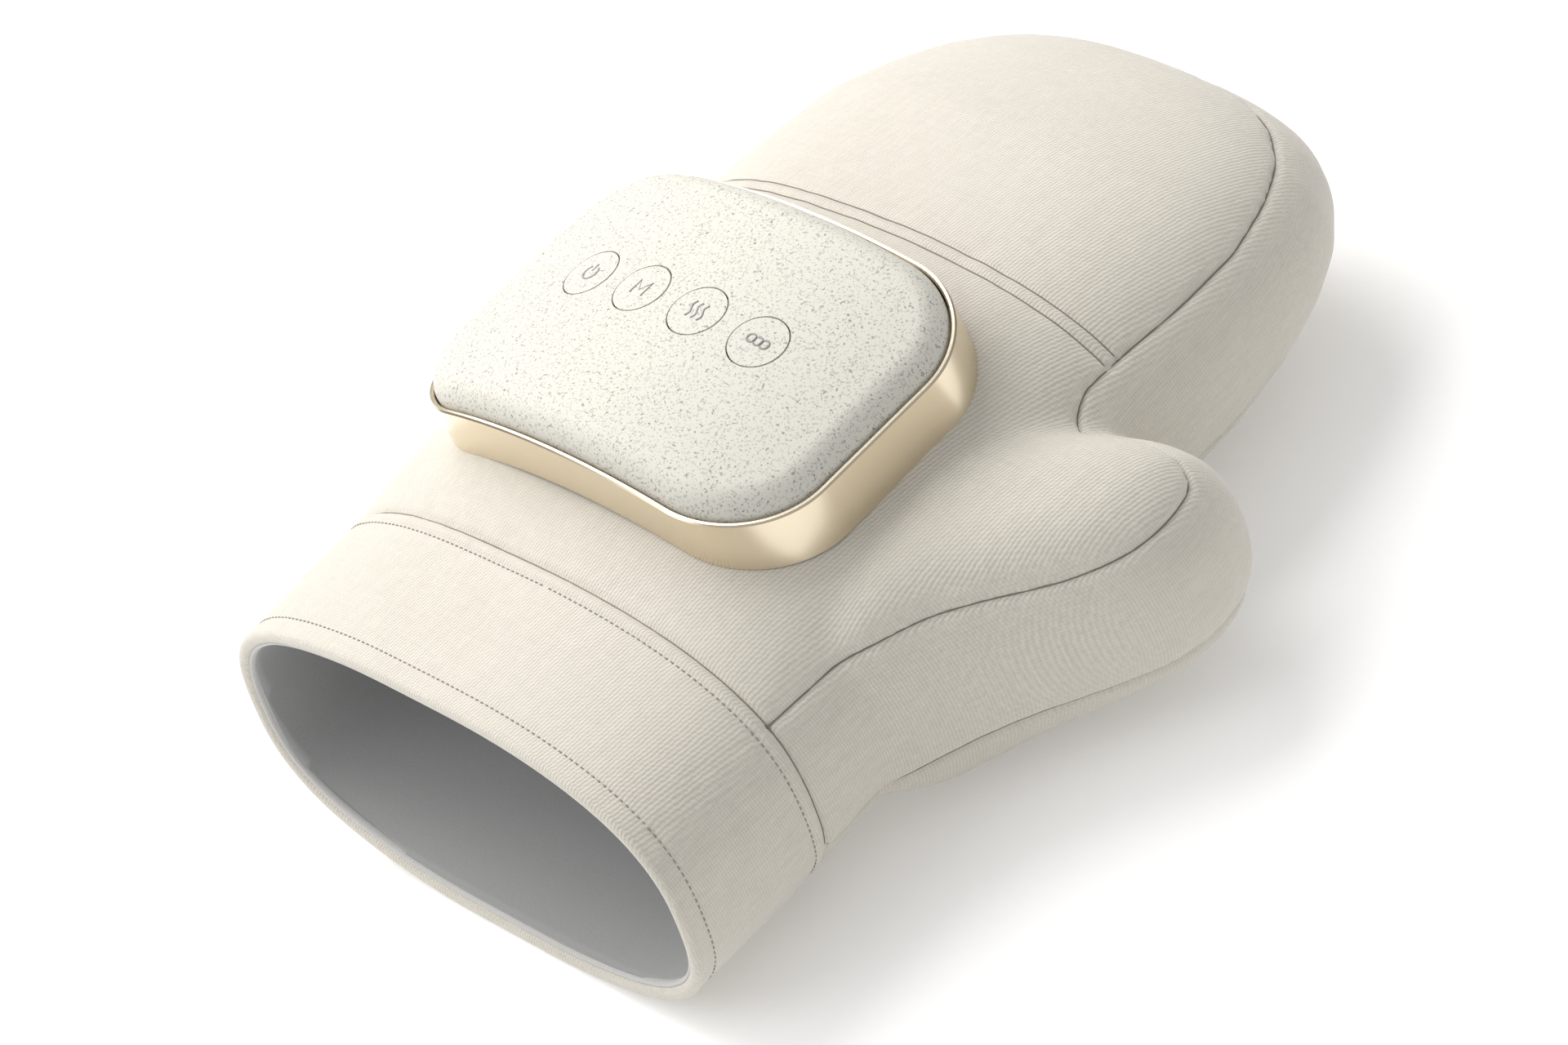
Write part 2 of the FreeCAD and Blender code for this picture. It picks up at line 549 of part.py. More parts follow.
for i, (x, y) in enumerate(lid_screw_spots):
    lid_holes.append(rod(f"lid_pilot{i}", "screw_radius + part_gap",
                         "lid_screw_seat + lid_screw_length + 2 * part_gap - plan_base",
                         upright(x, y, "plan_base")))
combine("Cut", "control_lid", lid_fittings, *lid_holes)

# ---------------------------------------------------------------- buttons and their switches

BUTTON_NAMES = ("power_button", "mode_button", "heat_button", "pressure_button")
for label, place in zip(BUTTON_NAMES, button_places):
    turned_body(label, [
        ("0", "dome_across + button_rise"),
        ("button_radius", "dome_across + button_rise - button_crown"),
        ("button_radius", "dome_across - button_skirt"),
        ("flange_radius", "dome_across - button_skirt"),
        ("flange_radius", "dome_across - button_skirt - flange_thick"),
        ("stem_radius", "dome_across - button_skirt - flange_thick"),
        ("stem_radius", "dome_across - stem_depth"),
        ("0", "dome_across - stem_depth")], place)

switches = [turned_body(f"switch{i}", [
    ("0", "dome_across - key_depth"), ("key_radius", "dome_across - key_depth"),
    ("key_radius", "dome_across - key_depth - key_height + part_gap"),
    ("0", "dome_across - key_depth - key_height + part_gap")], place)
    for i, place in enumerate(button_places)]
combine("Group", "key_switches", *switches)
key_plan = plan_body("key_plan", "key_board_width", "key_board_depth", "plan_base", "plan_height",
                     along="button_line", corner="post_radius")
arched("key_board", key_plan, "dome_across - key_depth - key_height - key_board_thick",
       "dome_across - key_depth - key_height", "dome_top - dome_across")

# ---------------------------------------------------------------- bladders, heating film, foam


def soft_plate(label, width, length, top, thick, along):
    """A rounded plate under the back of the hand, arched like it."""
    plan = plan_body(label + "_plan", width, length, "seam_bottom", "plan_height", along=along,
                     corner="soft_corner")
    return arched(label, plan, f"{top} - {thick} - soft_centre", f"{top} - soft_centre",
                  "soft_centre")


soft_plate("upper_airbag", "airbag_width", "airbag_length", "airbag_top", "airbag_thick",
           "soft_middle")
soft_plate("heating_film", "heater_width", "heater_length", "heater_top", "heater_thick",
           "soft_middle")
soft_plate("comfort_foam", "foam_width", "foam_length", "foam_top", "foam_thick", "soft_middle")
soft_plate("finger_airbag", "finger_bag_width", "finger_bag_length", "finger_bag_top",
           "finger_bag_thick", "finger_middle")
plan_body("lower_airbag", "lower_bag_width", "lower_bag_length", "lower_bag_base",
          "lower_bag_thick", along="lower_middle", corner="soft_corner")
plan_body("finger_pad", "finger_pad_width", "finger_bag_length", "finger_pad_base",
          "finger_pad_thick", along="finger_middle", corner="soft_corner")
plan_body("thumb_airbag", "thumb_bag_width", "thumb_bag_length", "thumb_bag_base",
          "thumb_bag_thick", across="thumb_bag_across", along="thumb_bag_along",
          corner="soft_corner - wall")

point_plate = plan_body("point_plate", "point_plate_width", "point_plate_length",
                        "point_plate_base", "point_plate_thick", along="lower_middle",
                        corner="soft_corner")
points = [turned_body(f"point{i}_{j}", [
    ("0", "point_height + point_plate_thick"),
    ("point_radius / 2", "point_height + point_plate_thick"),
    ("point_radius", "point_plate_thick / 2"), ("0", "point_plate_thick / 2")],
    upright(f"({i} - 1.5) * point_pitch", f"lower_middle + ({j} - 1.5) * point_pitch",
            "point_plate_base")) for i in range(4) for j in range(4)]
combine("Fuse", "acupressure_plate", point_plate, *points)

# ---------------------------------------------------------------- battery and pump

cell_place = Placement(Vector(value("cell_left"), value("cell_line"), value("cell_axis")), ALONG_X)
turned_body("battery_cell", [
    ("0", "0"), ("cell_radius", "0"), ("cell_radius", "cell_length - terminal_height"),
    ("terminal_radius", "cell_length - terminal_height"), ("terminal_radius", "cell_length"),
    ("0", "cell_length")], cell_place)
holder_block = block("holder_block", "cell_length + 2 * holder_wall + 2 * holder_play",
                     "holder_depth", "holder_height",
                     ("cell_left - holder_wall - holder_play", "cell_line - holder_depth / 2",
                      "holder_base"))
holder_bore = rod("holder_bore", "cell_radius + holder_play", "cell_length + 2 * holder_play",
                  Placement(cell_place.Base - Vector(value("holder_play"), 0, 0), ALONG_X))
combine("Cut", "battery_holder", holder_block, holder_bore)

pump_place = Placement(Vector(value("motor_left"), value("pump_line"), value("pump_axis")), ALONG_X)
head_place = Placement(pump_place.Base + Vector(value("motor_length"), 0, 0), ALONG_X)
turned_body("pump_motor", [
    ("shaft_radius + shaft_play", "0"), ("pump_radius", "0"), ("pump_radius", "motor_length"),
    ("shaft_radius + shaft_play", "motor_length"),
    ("shaft_radius + shaft_play", "motor_length - motor_plate"),
    ("motor_bore", "motor_length - motor_plate"), ("motor_bore", "motor_plate"),
    ("shaft_radius + shaft_play", "motor_plate")], pump_place)
head_cup = turned_body("head_cup", [
    ("head_bore", "part_gap"), ("pump_radius", "part_gap"), ("pump_radius", "head_length"),
    ("0", "head_length"), ("0", "head_cavity"), ("head_bore", "head_cavity")], head_place)
outlet_x = "motor_left + motor_length + head_length"


def barb(name, x, y, place_rotation=ALONG_X):
    """A short hose barb at the height of the air line."""
    return rod(name, "barb_radius", "barb_length",
               Placement(Vector(value(x), value(y), value("air_level")), place_rotation))


combine("Fuse", "pump_head", head_cup, barb("pump_barb", outlet_x, "manifold_line"))
spindle = turned_body("spindle", [
    ("0", "shaft_end_gap"), ("shaft_radius", "shaft_end_gap"),
    ("shaft_radius", "motor_plate + armature_gap"),
    ("armature_radius", "motor_plate + armature_gap"),
    ("armature_radius", "motor_length - motor_plate - armature_gap"),
    ("shaft_radius", "motor_length - motor_plate - armature_gap"), ("shaft_radius", "shaft_reach"),
    ("0", "shaft_reach")], pump_place)
eccentric = rod("eccentric", "eccentric_radius", "eccentric_length",
                Placement(pump_place.Base + Vector(value("eccentric_start"), 0,
                                                   value("eccentric_throw")), ALONG_X))
combine("Fuse", "pump_rotor", spindle, eccentric)
cradle_block = block("cradle_block", "cradle_length", "2 * pump_radius", "cradle_height",
                     ("cradle_left", "pump_line - pump_radius", "holder_base"))
cradle_bore = rod("cradle_bore", "pump_radius + cradle_play", "motor_length", pump_place)
combine("Cut", "pump_cradle", cradle_block, cradle_bore)

# ---------------------------------------------------------------- manifold, valves, hoses

manifold_block = block("manifold_block", "manifold_length", "manifold_depth", "manifold_height",
                       ("manifold_left", "manifold_line - manifold_depth / 2", "manifold_base"))
manifold_end = "manifold_left + manifold_length"
manifold_side = "manifold_line - manifold_depth / 2"
AGAINST_Y = Rotation(Vector(1, 0, 0), 90)
barbs = [barb("inlet_barb", "manifold_left - barb_length", "manifold_line"),
         barb("thumb_barb", manifold_end, "manifold_line"),
         barb("finger_barb", manifold_end, "manifold_line + outlet_pitch"),
         barb("lower_barb", "side_outlet", manifold_side, AGAINST_Y)]
combine("Fuse", "air_manifold", manifold_block, *barbs)

for i in range(2):
    middle = f"valve_first + {i} * valve_pitch"
    case = block(f"valve_case{i}", "valve_width", "valve_depth", "valve_height",
                 (f"{middle} - valve_width / 2", "manifold_line - valve_depth / 2", "valve_base"))
    cavity = rod(f"valve_cavity{i}", "plunger_radius + plunger_play", "valve_cavity",
                 upright(middle, "manifold_line", "valve_base + valve_floor"))
    combine("Cut", f"valve_body_{i + 1}", case, cavity)
    turned_body(f"valve_plunger_{i + 1}", [
        ("0", "0"), ("plunger_radius", "0"), ("plunger_radius", "plunger_length"),
        ("0", "plunger_length")], upright(middle, "manifold_line", "valve_base + plunger_seat"))

BEND_SHARE = 0.45


def bent_wire(points):
    """Straight runs joined by tangent arcs, each as large as its two runs allow."""
    edges, start = [], points[0]
    for before, corner, after in zip(points, points[1:], points[2:]):
        back, ahead = (before - corner), (after - corner)
        trim = BEND_SHARE * min(back.Length, ahead.Length)
        enter = corner + back.normalize() * trim
        leave = corner + ahead.normalize() * trim
        half_angle = back.getAngle(ahead) / 2
        bisector = (back + ahead).normalize()
        radius = trim * math.tan(half_angle)
        middle = corner + bisector * (trim / math.cos(half_angle) - radius)
        edges += [Part.makeLine(start, enter), Part.Arc(enter, middle, leave).toShape()]
        start = leave
    edges.append(Part.makeLine(start, points[-1]))
    return Part.Wire(edges)


def hose(points):
    """A hollow tube swept along a bent path."""
    path = bent_wire(points)
    heading = points[1] - points[0]
    tubes = []
    for radius in (value("hose_radius"), value("hose_bore")):
        ring = Part.Wire(Part.makeCircle(radius, points[0], heading))
        tubes.append(path.makePipeShell([ring], True, False))
    return tubes[0].cut(tubes[1])


gap = value("hose_gap")
level = value("air_level")
line = value("manifold_line")
finger_line = value("manifold_line + outlet_pitch")
end_x = value(manifold_end) + gap
drop_x = value("outlet_across")
side_x, side_line = value("inlet_across"), value("inlet_line")
# each hose bends at these points, on its way from the manifold to its bladder
HOSE_ROUTES = {
    "pump": [Vector(value(outlet_x) + gap, line, level), Vector(value("manifold_left") - gap, line, level)],
    "finger": [Vector(end_x, finger_line, level), Vector(drop_x, finger_line, level),
               Vector(drop_x, finger_line, 68), Vector(48, 40, 66.6), Vector(46, 62.8, 66.4)],
    "thumb": [Vector(end_x, line, level), Vector(drop_x, line, level), Vector(drop_x, line, 66),
              Vector(62, line - 1, 60.6), Vector(83.8, line - 2, 60.4)],
    "lower": [Vector(value("side_outlet"), value(manifold_side) - gap, level),
              Vector(value("side_outlet"), side_line, level), Vector(side_x, side_line, level),
              Vector(side_x - 2, side_line, 66), Vector(-72, side_line, 58),
              Vector(-81.6, side_line, 40), Vector(-72.5, side_line, 21.5),
              Vector(-58, side_line, 14), Vector(-42.3, side_line, 7.6)],
}
hoses = [shape_feature(f"{name}_hose", hose(route)) for name, route in HOSE_ROUTES.items()]
combine("Group", "air_hoses", *hoses)

# ---------------------------------------------------------------- boards and charging socket

board_plan = plan_body("board_plan", "board_length", "board_depth", "board_base", "board_thick",
                       across="board_middle", along="board_line", corner="board_thick")
board_holes = [rod(f"board_hole{i}", "screw_radius + screw_play", "plan_height",
                   upright(x, y, "tub_base")) for i, (x, y) in enumerate(standoff_spots)]
combine("Cut", "control_board", board_plan, *board_holes)

board_top = "board_base + board_thick + part_gap"
# width, depth, height and place from the middle of the board: controller, driver, coil, plug, relay
CHIPS = ((8, 8, 1.2, 0, 0), (5, 4, 1.2, -9, 6), (6, 6, 3.0, 8, -9), (10, 5, 4.4, -4, -12),
         (7, 4.5, 3.6, 9, 8))
chips = [block(f"chip{i}", width, depth, height,
               (f"board_middle + {across} - {width} / 2", f"board_line + {along} - {depth} / 2",
                board_top)) for i, (width, depth, height, across, along) in enumerate(CHIPS)]
combine("Group", "board_components", *chips)

block("charge_board_block", "charge_board_width", "charge_board_front - charge_board_back",
      "charge_board_thick", ("-charge_board_width / 2", "charge_board_back",
                             "charge_board_base")).Label = "charge_board"
port_back = "port_mouth - port_depth"
port_base = "charge_board_base + charge_board_thick + part_gap"
port_shell = plan_body("port_shell", "port_width", "port_depth", port_base, "port_height",
                       along="port_mouth - port_depth / 2")
port_opening = block("port_opening", "port_width - 2 * port_wall", "port_cavity",
                     "port_height - 2 * port_wall",
                     ("-port_width / 2 + port_wall", "port_mouth - port_cavity",
                      f"{port_base} + port_wall"))
tongue = block("port_tongue", "tongue_width", "tongue_length + port_wall", "tongue_height",
               ("-tongue_width / 2", "port_mouth - port_cavity - port_wall",
                f"{port_base} + port_height / 2 - tongue_height / 2"))
combine("Fuse", "charging_port", combine("Cut", "port_can", port_shell, port_opening), tongue)

# ---------------------------------------------------------------- fasteners


def screw(label, seat, length, place, upward=False):
    """A pan-head screw whose head sits on seat, with its shank pointing down, or up."""
    way = "-" if upward else "+"
    back = "+" if upward else "-"
    return turned_body(label, [
        ("0", f"{seat} {way} head_thick {back} socket_depth"),
        ("socket_radius", f"{seat} {way} head_thick {back} socket_depth"),
        ("socket_radius", f"{seat} {way} head_thick"), ("head_radius", f"{seat} {way} head_thick"),
        ("head_radius", seat), ("screw_radius", seat), ("screw_radius", f"{seat} {back} {length}"),
        ("0", f"{seat} {back} {length}")], place)


combine("Group", "frame_screws", *[
    screw(f"frame_screw{i}", "flange_top + part_gap", "frame_screw_length", place)
    for i, place in enumerate(frame_screw_places)])
combine("Group", "lid_screws", *[
    screw(f"lid_screw{i}", "lid_screw_seat - part_gap", "lid_screw_length", upright(x, y, "0"),
          upward=True) for i, (x, y) in enumerate(lid_screw_spots)])
combine("Group", "board_screws", *[
    screw(f"board_screw{i}", "board_base + board_thick + part_gap", "board_screw_length",
          upright(x, y, "0")) for i, (x, y) in enumerate(standoff_spots)])

# ---------------------------------------------------------------- check and write

NODES = (
    "cuff_binding", "cuff_band", "bottom_panel", "side_gusset", "palm_top_panel",
    "finger_top_panel", "hand_lining", "clamp_frame", "control_tray", "trim_ring", "lid_gasket",
    "control_lid", *BUTTON_NAMES, "key_switches", "key_board", "upper_airbag", "heating_film",
    "comfort_foam", "finger_airbag", "lower_airbag", "finger_pad", "thumb_airbag",
    "acupressure_plate", "battery_cell", "battery_holder", "pump_motor", "pump_head", "pump_rotor",
    "pump_cradle", "air_manifold", "valve_body_1", "valve_body_2", "valve_plunger_1",
    "valve_plunger_2", "air_hoses", "control_board", "board_components", "charge_board",
    "charging_port", "frame_screws", "lid_screws", "board_screws",
)

document.recompute()
for item in document.Objects:
    if "Invalid" in item.State or "Error" in item.State:
        raise RuntimeError(f"{item.Label} failed: {item.State}")

os.makedirs("parts", exist_ok=True)
for node in NODES:
    shape = document.getObjectsByLabel(node)[0].Shape
    if shape.isNull() or not shape.isValid():
        raise RuntimeError(f"{node} has no valid shape")
    shape.exportStep(f"parts/{node}.step")
    print(f"{node}: {len(shape.Solids)} solid(s), {shape.Volume / 1000:.2f} cm3")
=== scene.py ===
"""The looks of a mitten-shaped hand massager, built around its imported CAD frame.

The fabric shell, lining, hem, seams and stitches are made here and stand for the plain CAD solids.
The control box, its buttons and all inner parts are the CAD's own, with materials made here.
Lengths are metres; the local unit MM keeps the sewing sizes readable.
"""

import json
import math

import bmesh
import bpy
import numpy as np
from mathutils import Matrix, Vector, noise


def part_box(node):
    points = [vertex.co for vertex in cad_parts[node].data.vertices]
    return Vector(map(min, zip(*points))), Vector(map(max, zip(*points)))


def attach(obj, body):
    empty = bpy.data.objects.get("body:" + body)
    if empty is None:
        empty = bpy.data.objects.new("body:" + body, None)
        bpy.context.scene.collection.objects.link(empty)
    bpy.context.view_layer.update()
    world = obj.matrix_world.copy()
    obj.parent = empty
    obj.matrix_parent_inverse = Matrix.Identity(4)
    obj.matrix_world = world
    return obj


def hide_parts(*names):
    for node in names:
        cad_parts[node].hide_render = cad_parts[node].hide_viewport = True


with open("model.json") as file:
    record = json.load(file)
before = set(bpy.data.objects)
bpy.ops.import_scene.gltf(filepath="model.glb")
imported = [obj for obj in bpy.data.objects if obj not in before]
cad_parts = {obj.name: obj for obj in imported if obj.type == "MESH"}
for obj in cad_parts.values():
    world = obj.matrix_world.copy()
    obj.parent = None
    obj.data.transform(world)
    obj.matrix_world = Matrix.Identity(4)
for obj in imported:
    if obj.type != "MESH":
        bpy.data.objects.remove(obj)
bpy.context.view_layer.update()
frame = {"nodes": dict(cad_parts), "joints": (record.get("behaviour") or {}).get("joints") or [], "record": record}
MM = 0.001

# ---------------------------------------------------------------- sizes taken from the frame

_, palm_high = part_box("palm_top_panel")
_, band_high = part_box("cuff_band")
binding_low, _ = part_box("cuff_binding")
finger_low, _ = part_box("finger_top_panel")
_, gusset_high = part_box("side_gusset")
_, bottom_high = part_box("bottom_panel")

# Everything below is in millimetres, unless a value carries MM.
CREST_PUFF = 0.5             # the padding swells this far over the CAD crest
HALF = band_high.x / MM
CREST = palm_high.z / MM + CREST_PUFF
WRIST = binding_low.y / MM
BAND = band_high.y / MM
TOP_SEAM = gusset_high.z / MM
BOTTOM_SEAM = bottom_high.z / MM
CROSS_SEAM = finger_low.y / MM

# ---------------------------------------------------------------- camera

AIM_HEIGHT = 103.0           # the camera is placed from a point this high over the origin
CAMERA_AZIMUTH, CAMERA_ELEVATION, CAMERA_ROLL = (math.radians(v) for v in (65.128, 37.609, -28.763))
CAMERA_DISTANCE, CAMERA_SIDE, CAMERA_DOWN = 1473.0, 27.18, 48.17
CAMERA_LENS, SENSOR_WIDTH = 140.55, 36.0
CLIP_END = 20.0              # metres


def add_camera():
    """The camera at the viewing angle: its axes are turned from azimuth, elevation and roll."""
    ca, sa = math.cos(CAMERA_AZIMUTH), math.sin(CAMERA_AZIMUTH)
    ce, se = math.cos(CAMERA_ELEVATION), math.sin(CAMERA_ELEVATION)
    level, rise = Vector((ca, sa, 0)), Vector((-sa * se, ca * se, ce))
    back = Vector((sa * ce, -ca * ce, se))
    c, s = math.cos(CAMERA_ROLL), math.sin(CAMERA_ROLL)
    right, up = level * c + rise * s, rise * c - level * s
    place = right * CAMERA_SIDE - up * CAMERA_DOWN + back * CAMERA_DISTANCE + Vector((0, 0, AIM_HEIGHT))
    data = bpy.data.cameras.new("camera")
    data.lens, data.sensor_width, data.clip_end = CAMERA_LENS, SENSOR_WIDTH, CLIP_END
    item = bpy.data.objects.new("camera", data)
    turn = Matrix((right, up, back)).transposed().to_4x4()
    item.matrix_world = Matrix.Translation(place * MM) @ turn
    bpy.context.scene.collection.objects.link(item)
    bpy.context.scene.camera = item


# ---------------------------------------------------------------- node materials


class Nodes:
    """A small helper for writing node trees: each call adds a node and returns its output.

    An input is given by its name, or as i and its index where a node uses one name twice."""

    INPUTS = {"color": "Base Color", "rough": "Roughness", "metal": "Metallic", "normal": "Normal",
              "sheen": "Sheen Weight", "sheen_rough": "Sheen Roughness",
              "specular": "Specular IOR Level"}

    def __init__(self, name):
        self.material = bpy.data.materials.new(name)
        self.material.use_nodes = True
        self.tree = self.material.node_tree
        self.shader = self.tree.nodes["Principled BSDF"]

    def add(self, kind, output=0, settings=None, **inputs):
        node = self.tree.nodes.new(kind)
        for key, entry in (settings or {}).items():
            setattr(node, key, entry)
        for key, entry in inputs.items():
            socket = node.inputs[int(key[1:]) if key[0] == "i" and key[1:].isdigit() else key]
            self.feed(socket, entry)
        return node.outputs[output]

    def feed(self, socket, entry):
        if isinstance(entry, bpy.types.NodeSocket):
            self.tree.links.new(entry, socket)
        else:
            socket.default_value = entry

    def math(self, operation, first, second=0.0):
        return self.add("ShaderNodeMath", settings={"operation": operation}, i0=first, i1=second)

    def total(self, *terms, base=None):
        """The sum of sockets, each times its share, over an even base."""
        result = None
        for socket, share in reversed(terms):
            part = self.math("MULTIPLY", socket, share)
            result = part if result is None else self.math("ADD", part, result)
        return result if base is None else self.math("ADD", base, result)

    def mix(self, share, first, second):
        return self.add("ShaderNodeMix", output=2, settings={"data_type": "RGBA"},
                        i0=share, i6=first, i7=second)

    def blend(self, share, first, second):
        return self.add("ShaderNodeMix", settings={"data_type": "FLOAT"}, i0=share, i2=first, i3=second)

    def noise(self, place, scale, detail=3.0, rough=0.5):
        return self.add("ShaderNodeTexNoise", Vector=place, Scale=scale, Detail=detail,
                        Roughness=rough)

    def ramp(self, share, low, high):
        return self.add("ShaderNodeMapRange", settings={"interpolation_type": "SMOOTHSTEP"},
                        i0=share, i1=low, i2=high, i3=0.0, i4=1.0)

    def place(self):
        return self.add("ShaderNodeTexCoord", output=3)

    def stretch(self, place, scale):
        return self.add("ShaderNodeMapping", Vector=place, Scale=scale)

    def bump(self, height, distance, strength):
        return self.add("ShaderNodeBump", Height=height, Distance=distance, Strength=strength)

    def finish(self, **inputs):
        for key, entry in inputs.items():
            self.feed(self.shader.inputs[self.INPUTS[key]], entry)
        return self.material


def shade(color, factor):
    return (*(channel * factor for channel in color[:3]), 1.0)


BAND_UNIT = 3.183            # a wave texture's bands repeat every 1 / (scale x BAND_UNIT)


def threads(nodes, place, pitch, direction, tilt):
    """Fine parallel threads across one axis of the place vector, turned about the vertical."""
    turned = nodes.add("ShaderNodeMapping", Vector=place, Rotation=(0.0, 0.0, tilt))
    return nodes.add("ShaderNodeTexWave", output=1,
                     settings={"wave_type": "BANDS", "bands_direction": direction},
                     Vector=turned, Scale=1.0 / (pitch * BAND_UNIT), Distortion=2.2, Detail=2.0,
                     **{"Detail Scale": 1.5, "Detail Roughness": 0.6})


def linen(name, color, pitch=0.95 * MM, depth=0.12 * MM):
    """A linen twill: threads laid by the surface's heading, with slubs, fuzz and soft wear."""
    nodes = Nodes(name)
    place = nodes.place()
    heading = nodes.tree.nodes.new("ShaderNodeSeparateXYZ")
    nodes.feed(heading.inputs[0], nodes.add("ShaderNodeNewGeometry", output=1))
    facing_y, facing_z = (nodes.ramp(nodes.math("ABSOLUTE", heading.outputs[axis]), low=0.45, high=0.75)
                          for axis in "YZ")
    across_x = threads(nodes, place, pitch, "X", tilt=0.12)
    across_y = threads(nodes, place, pitch * 0.8, "Y", tilt=-0.06)
    across_z = threads(nodes, place, pitch, "Z", tilt=0.0)
    twill = threads(nodes, place, pitch * 1.15, "X", tilt=math.radians(52))
    flat = nodes.total((across_x, 0.68), (across_y, 0.12), (twill, 0.2))
    sideways = nodes.total((across_z, 0.15), (across_y, 0.35), base=0.25)
    endways = nodes.total((across_z, 0.15), (across_x, 0.35), base=0.25)
    weave = nodes.blend(facing_z, nodes.blend(facing_y, sideways, endways), flat)
    slub = nodes.noise(nodes.stretch(place, (1.0, 0.12, 1.0)), scale=900.0, rough=0.6)
    cross = nodes.noise(nodes.stretch(place, (0.12, 1.0, 1.0)), scale=900.0)
    cloud = nodes.noise(place, scale=26.0, rough=0.55)
    fuzz = nodes.noise(place, scale=2600.0, detail=2.0, rough=0.7)
    tone = nodes.total((weave, 0.5), (slub, 0.3), (cross, 0.2))
    woven = nodes.mix(nodes.ramp(tone, low=0.2, high=0.8), shade(color, 0.78), shade(color, 1.12))
    colored = nodes.mix(nodes.ramp(cloud, low=0.3, high=0.7), woven,
                        nodes.mix(0.35, woven, shade(color, 0.97)))
    height = nodes.total((weave, 0.7), (slub, 0.5), (fuzz, 0.2))
    return nodes.finish(color=colored, rough=nodes.total((fuzz, 0.16), base=0.78),
                        normal=nodes.bump(height, depth, strength=0.9), sheen=0.25, sheen_rough=0.5,
                        specular=0.25)


def knit(name, color):
    """A smooth fine knit or brushed lining, with a faint grain and soft cloudy tone."""
    nodes = Nodes(name)
    place = nodes.place()
    grain = nodes.noise(place, scale=2200.0, detail=2.0, rough=0.6)
    cloud = nodes.noise(place, scale=30.0, detail=2.0)
    colored = nodes.mix(nodes.ramp(grain, low=0.3, high=0.7), shade(color, 0.94), shade(color, 1.05))
    tinted = nodes.mix(nodes.total((cloud, 0.3)), colored, shade(color, 0.92))
    return nodes.finish(color=tinted, rough=nodes.total((grain, 0.12), base=0.7),
                        normal=nodes.bump(grain, 0.04 * MM, strength=0.6), sheen=0.3, sheen_rough=0.45,
                        specular=0.25)


def speckled(name, color, fleck, dark_fleck):
    """Matte plastic moulded with fine flecks of two tones and a slight grain."""
    nodes = Nodes(name)
    place = nodes.place()
    cells = nodes.add("ShaderNodeTexVoronoi", settings={"feature": "F1"}, Vector=place, Scale=820.0,
                      Randomness=1.0)
    size = nodes.noise(place, scale=700.0, detail=1.0)
    spot = nodes.ramp(nodes.math("SUBTRACT", cells, nodes.total((size, 0.34))), low=0.10, high=0.04)
    dots = nodes.ramp(nodes.noise(place, scale=1500.0, detail=2.0, rough=0.65), low=0.585, high=0.64)
    elsewhere = nodes.add("ShaderNodeMapping", Vector=place, Location=(0.3, 0.1, 0.7))
    small = nodes.ramp(nodes.noise(elsewhere, scale=1150.0, detail=2.0, rough=0.6), low=0.615, high=0.67)
    cloud = nodes.noise(place, scale=40.0, detail=2.0)
    grain = nodes.noise(place, scale=2400.0, detail=2.0)
    base = nodes.mix(nodes.total((cloud, 0.5)), color, shade(color, 0.95))
    once = nodes.mix(nodes.total((spot, 0.55)), base, fleck)
    twice = nodes.mix(nodes.total((dots, 0.75)), once, fleck)
    thrice = nodes.mix(nodes.total((small, 0.8)), twice, dark_fleck)
    return nodes.finish(color=thrice, rough=nodes.total((grain, 0.14), base=0.52),
                        normal=nodes.bump(grain, 0.03 * MM, strength=0.5), specular=0.4)


def satin_metal(name, color):
    """Anodised or brushed metal with a fine grain along the part and slight smudges."""
    nodes = Nodes(name)
    place = nodes.place()
    grain = nodes.noise(nodes.stretch(place, (0.06, 0.06, 1.0)), scale=6000.0, detail=2.0)
    smudge = nodes.noise(place, scale=60.0)
    colored = nodes.mix(nodes.total((smudge, 0.5)), color, shade(color, 0.93))
    return nodes.finish(color=colored, metal=1.0, rough=nodes.total((smudge, 0.1), base=0.2),
                        normal=nodes.bump(grain, 0.01 * MM, strength=0.35))


def moulded(name, color, rough=0.5, grain_scale=1800.0, metal=0.0):
    """A moulded, rubber or plated part with grain in its tone, roughness and surface."""
    nodes = Nodes(name)
    place = nodes.place()
    grain = nodes.noise(place, grain_scale, detail=2.0)
    cloud = nodes.noise(place, scale=90.0)
    colored = nodes.mix(cloud, shade(color, 0.88), shade(color, 1.1))
    return nodes.finish(color=colored, metal=metal, rough=nodes.total((cloud, 0.14), base=rough - 0.06),
                        normal=nodes.bump(grain, 0.02 * MM, strength=0.5))


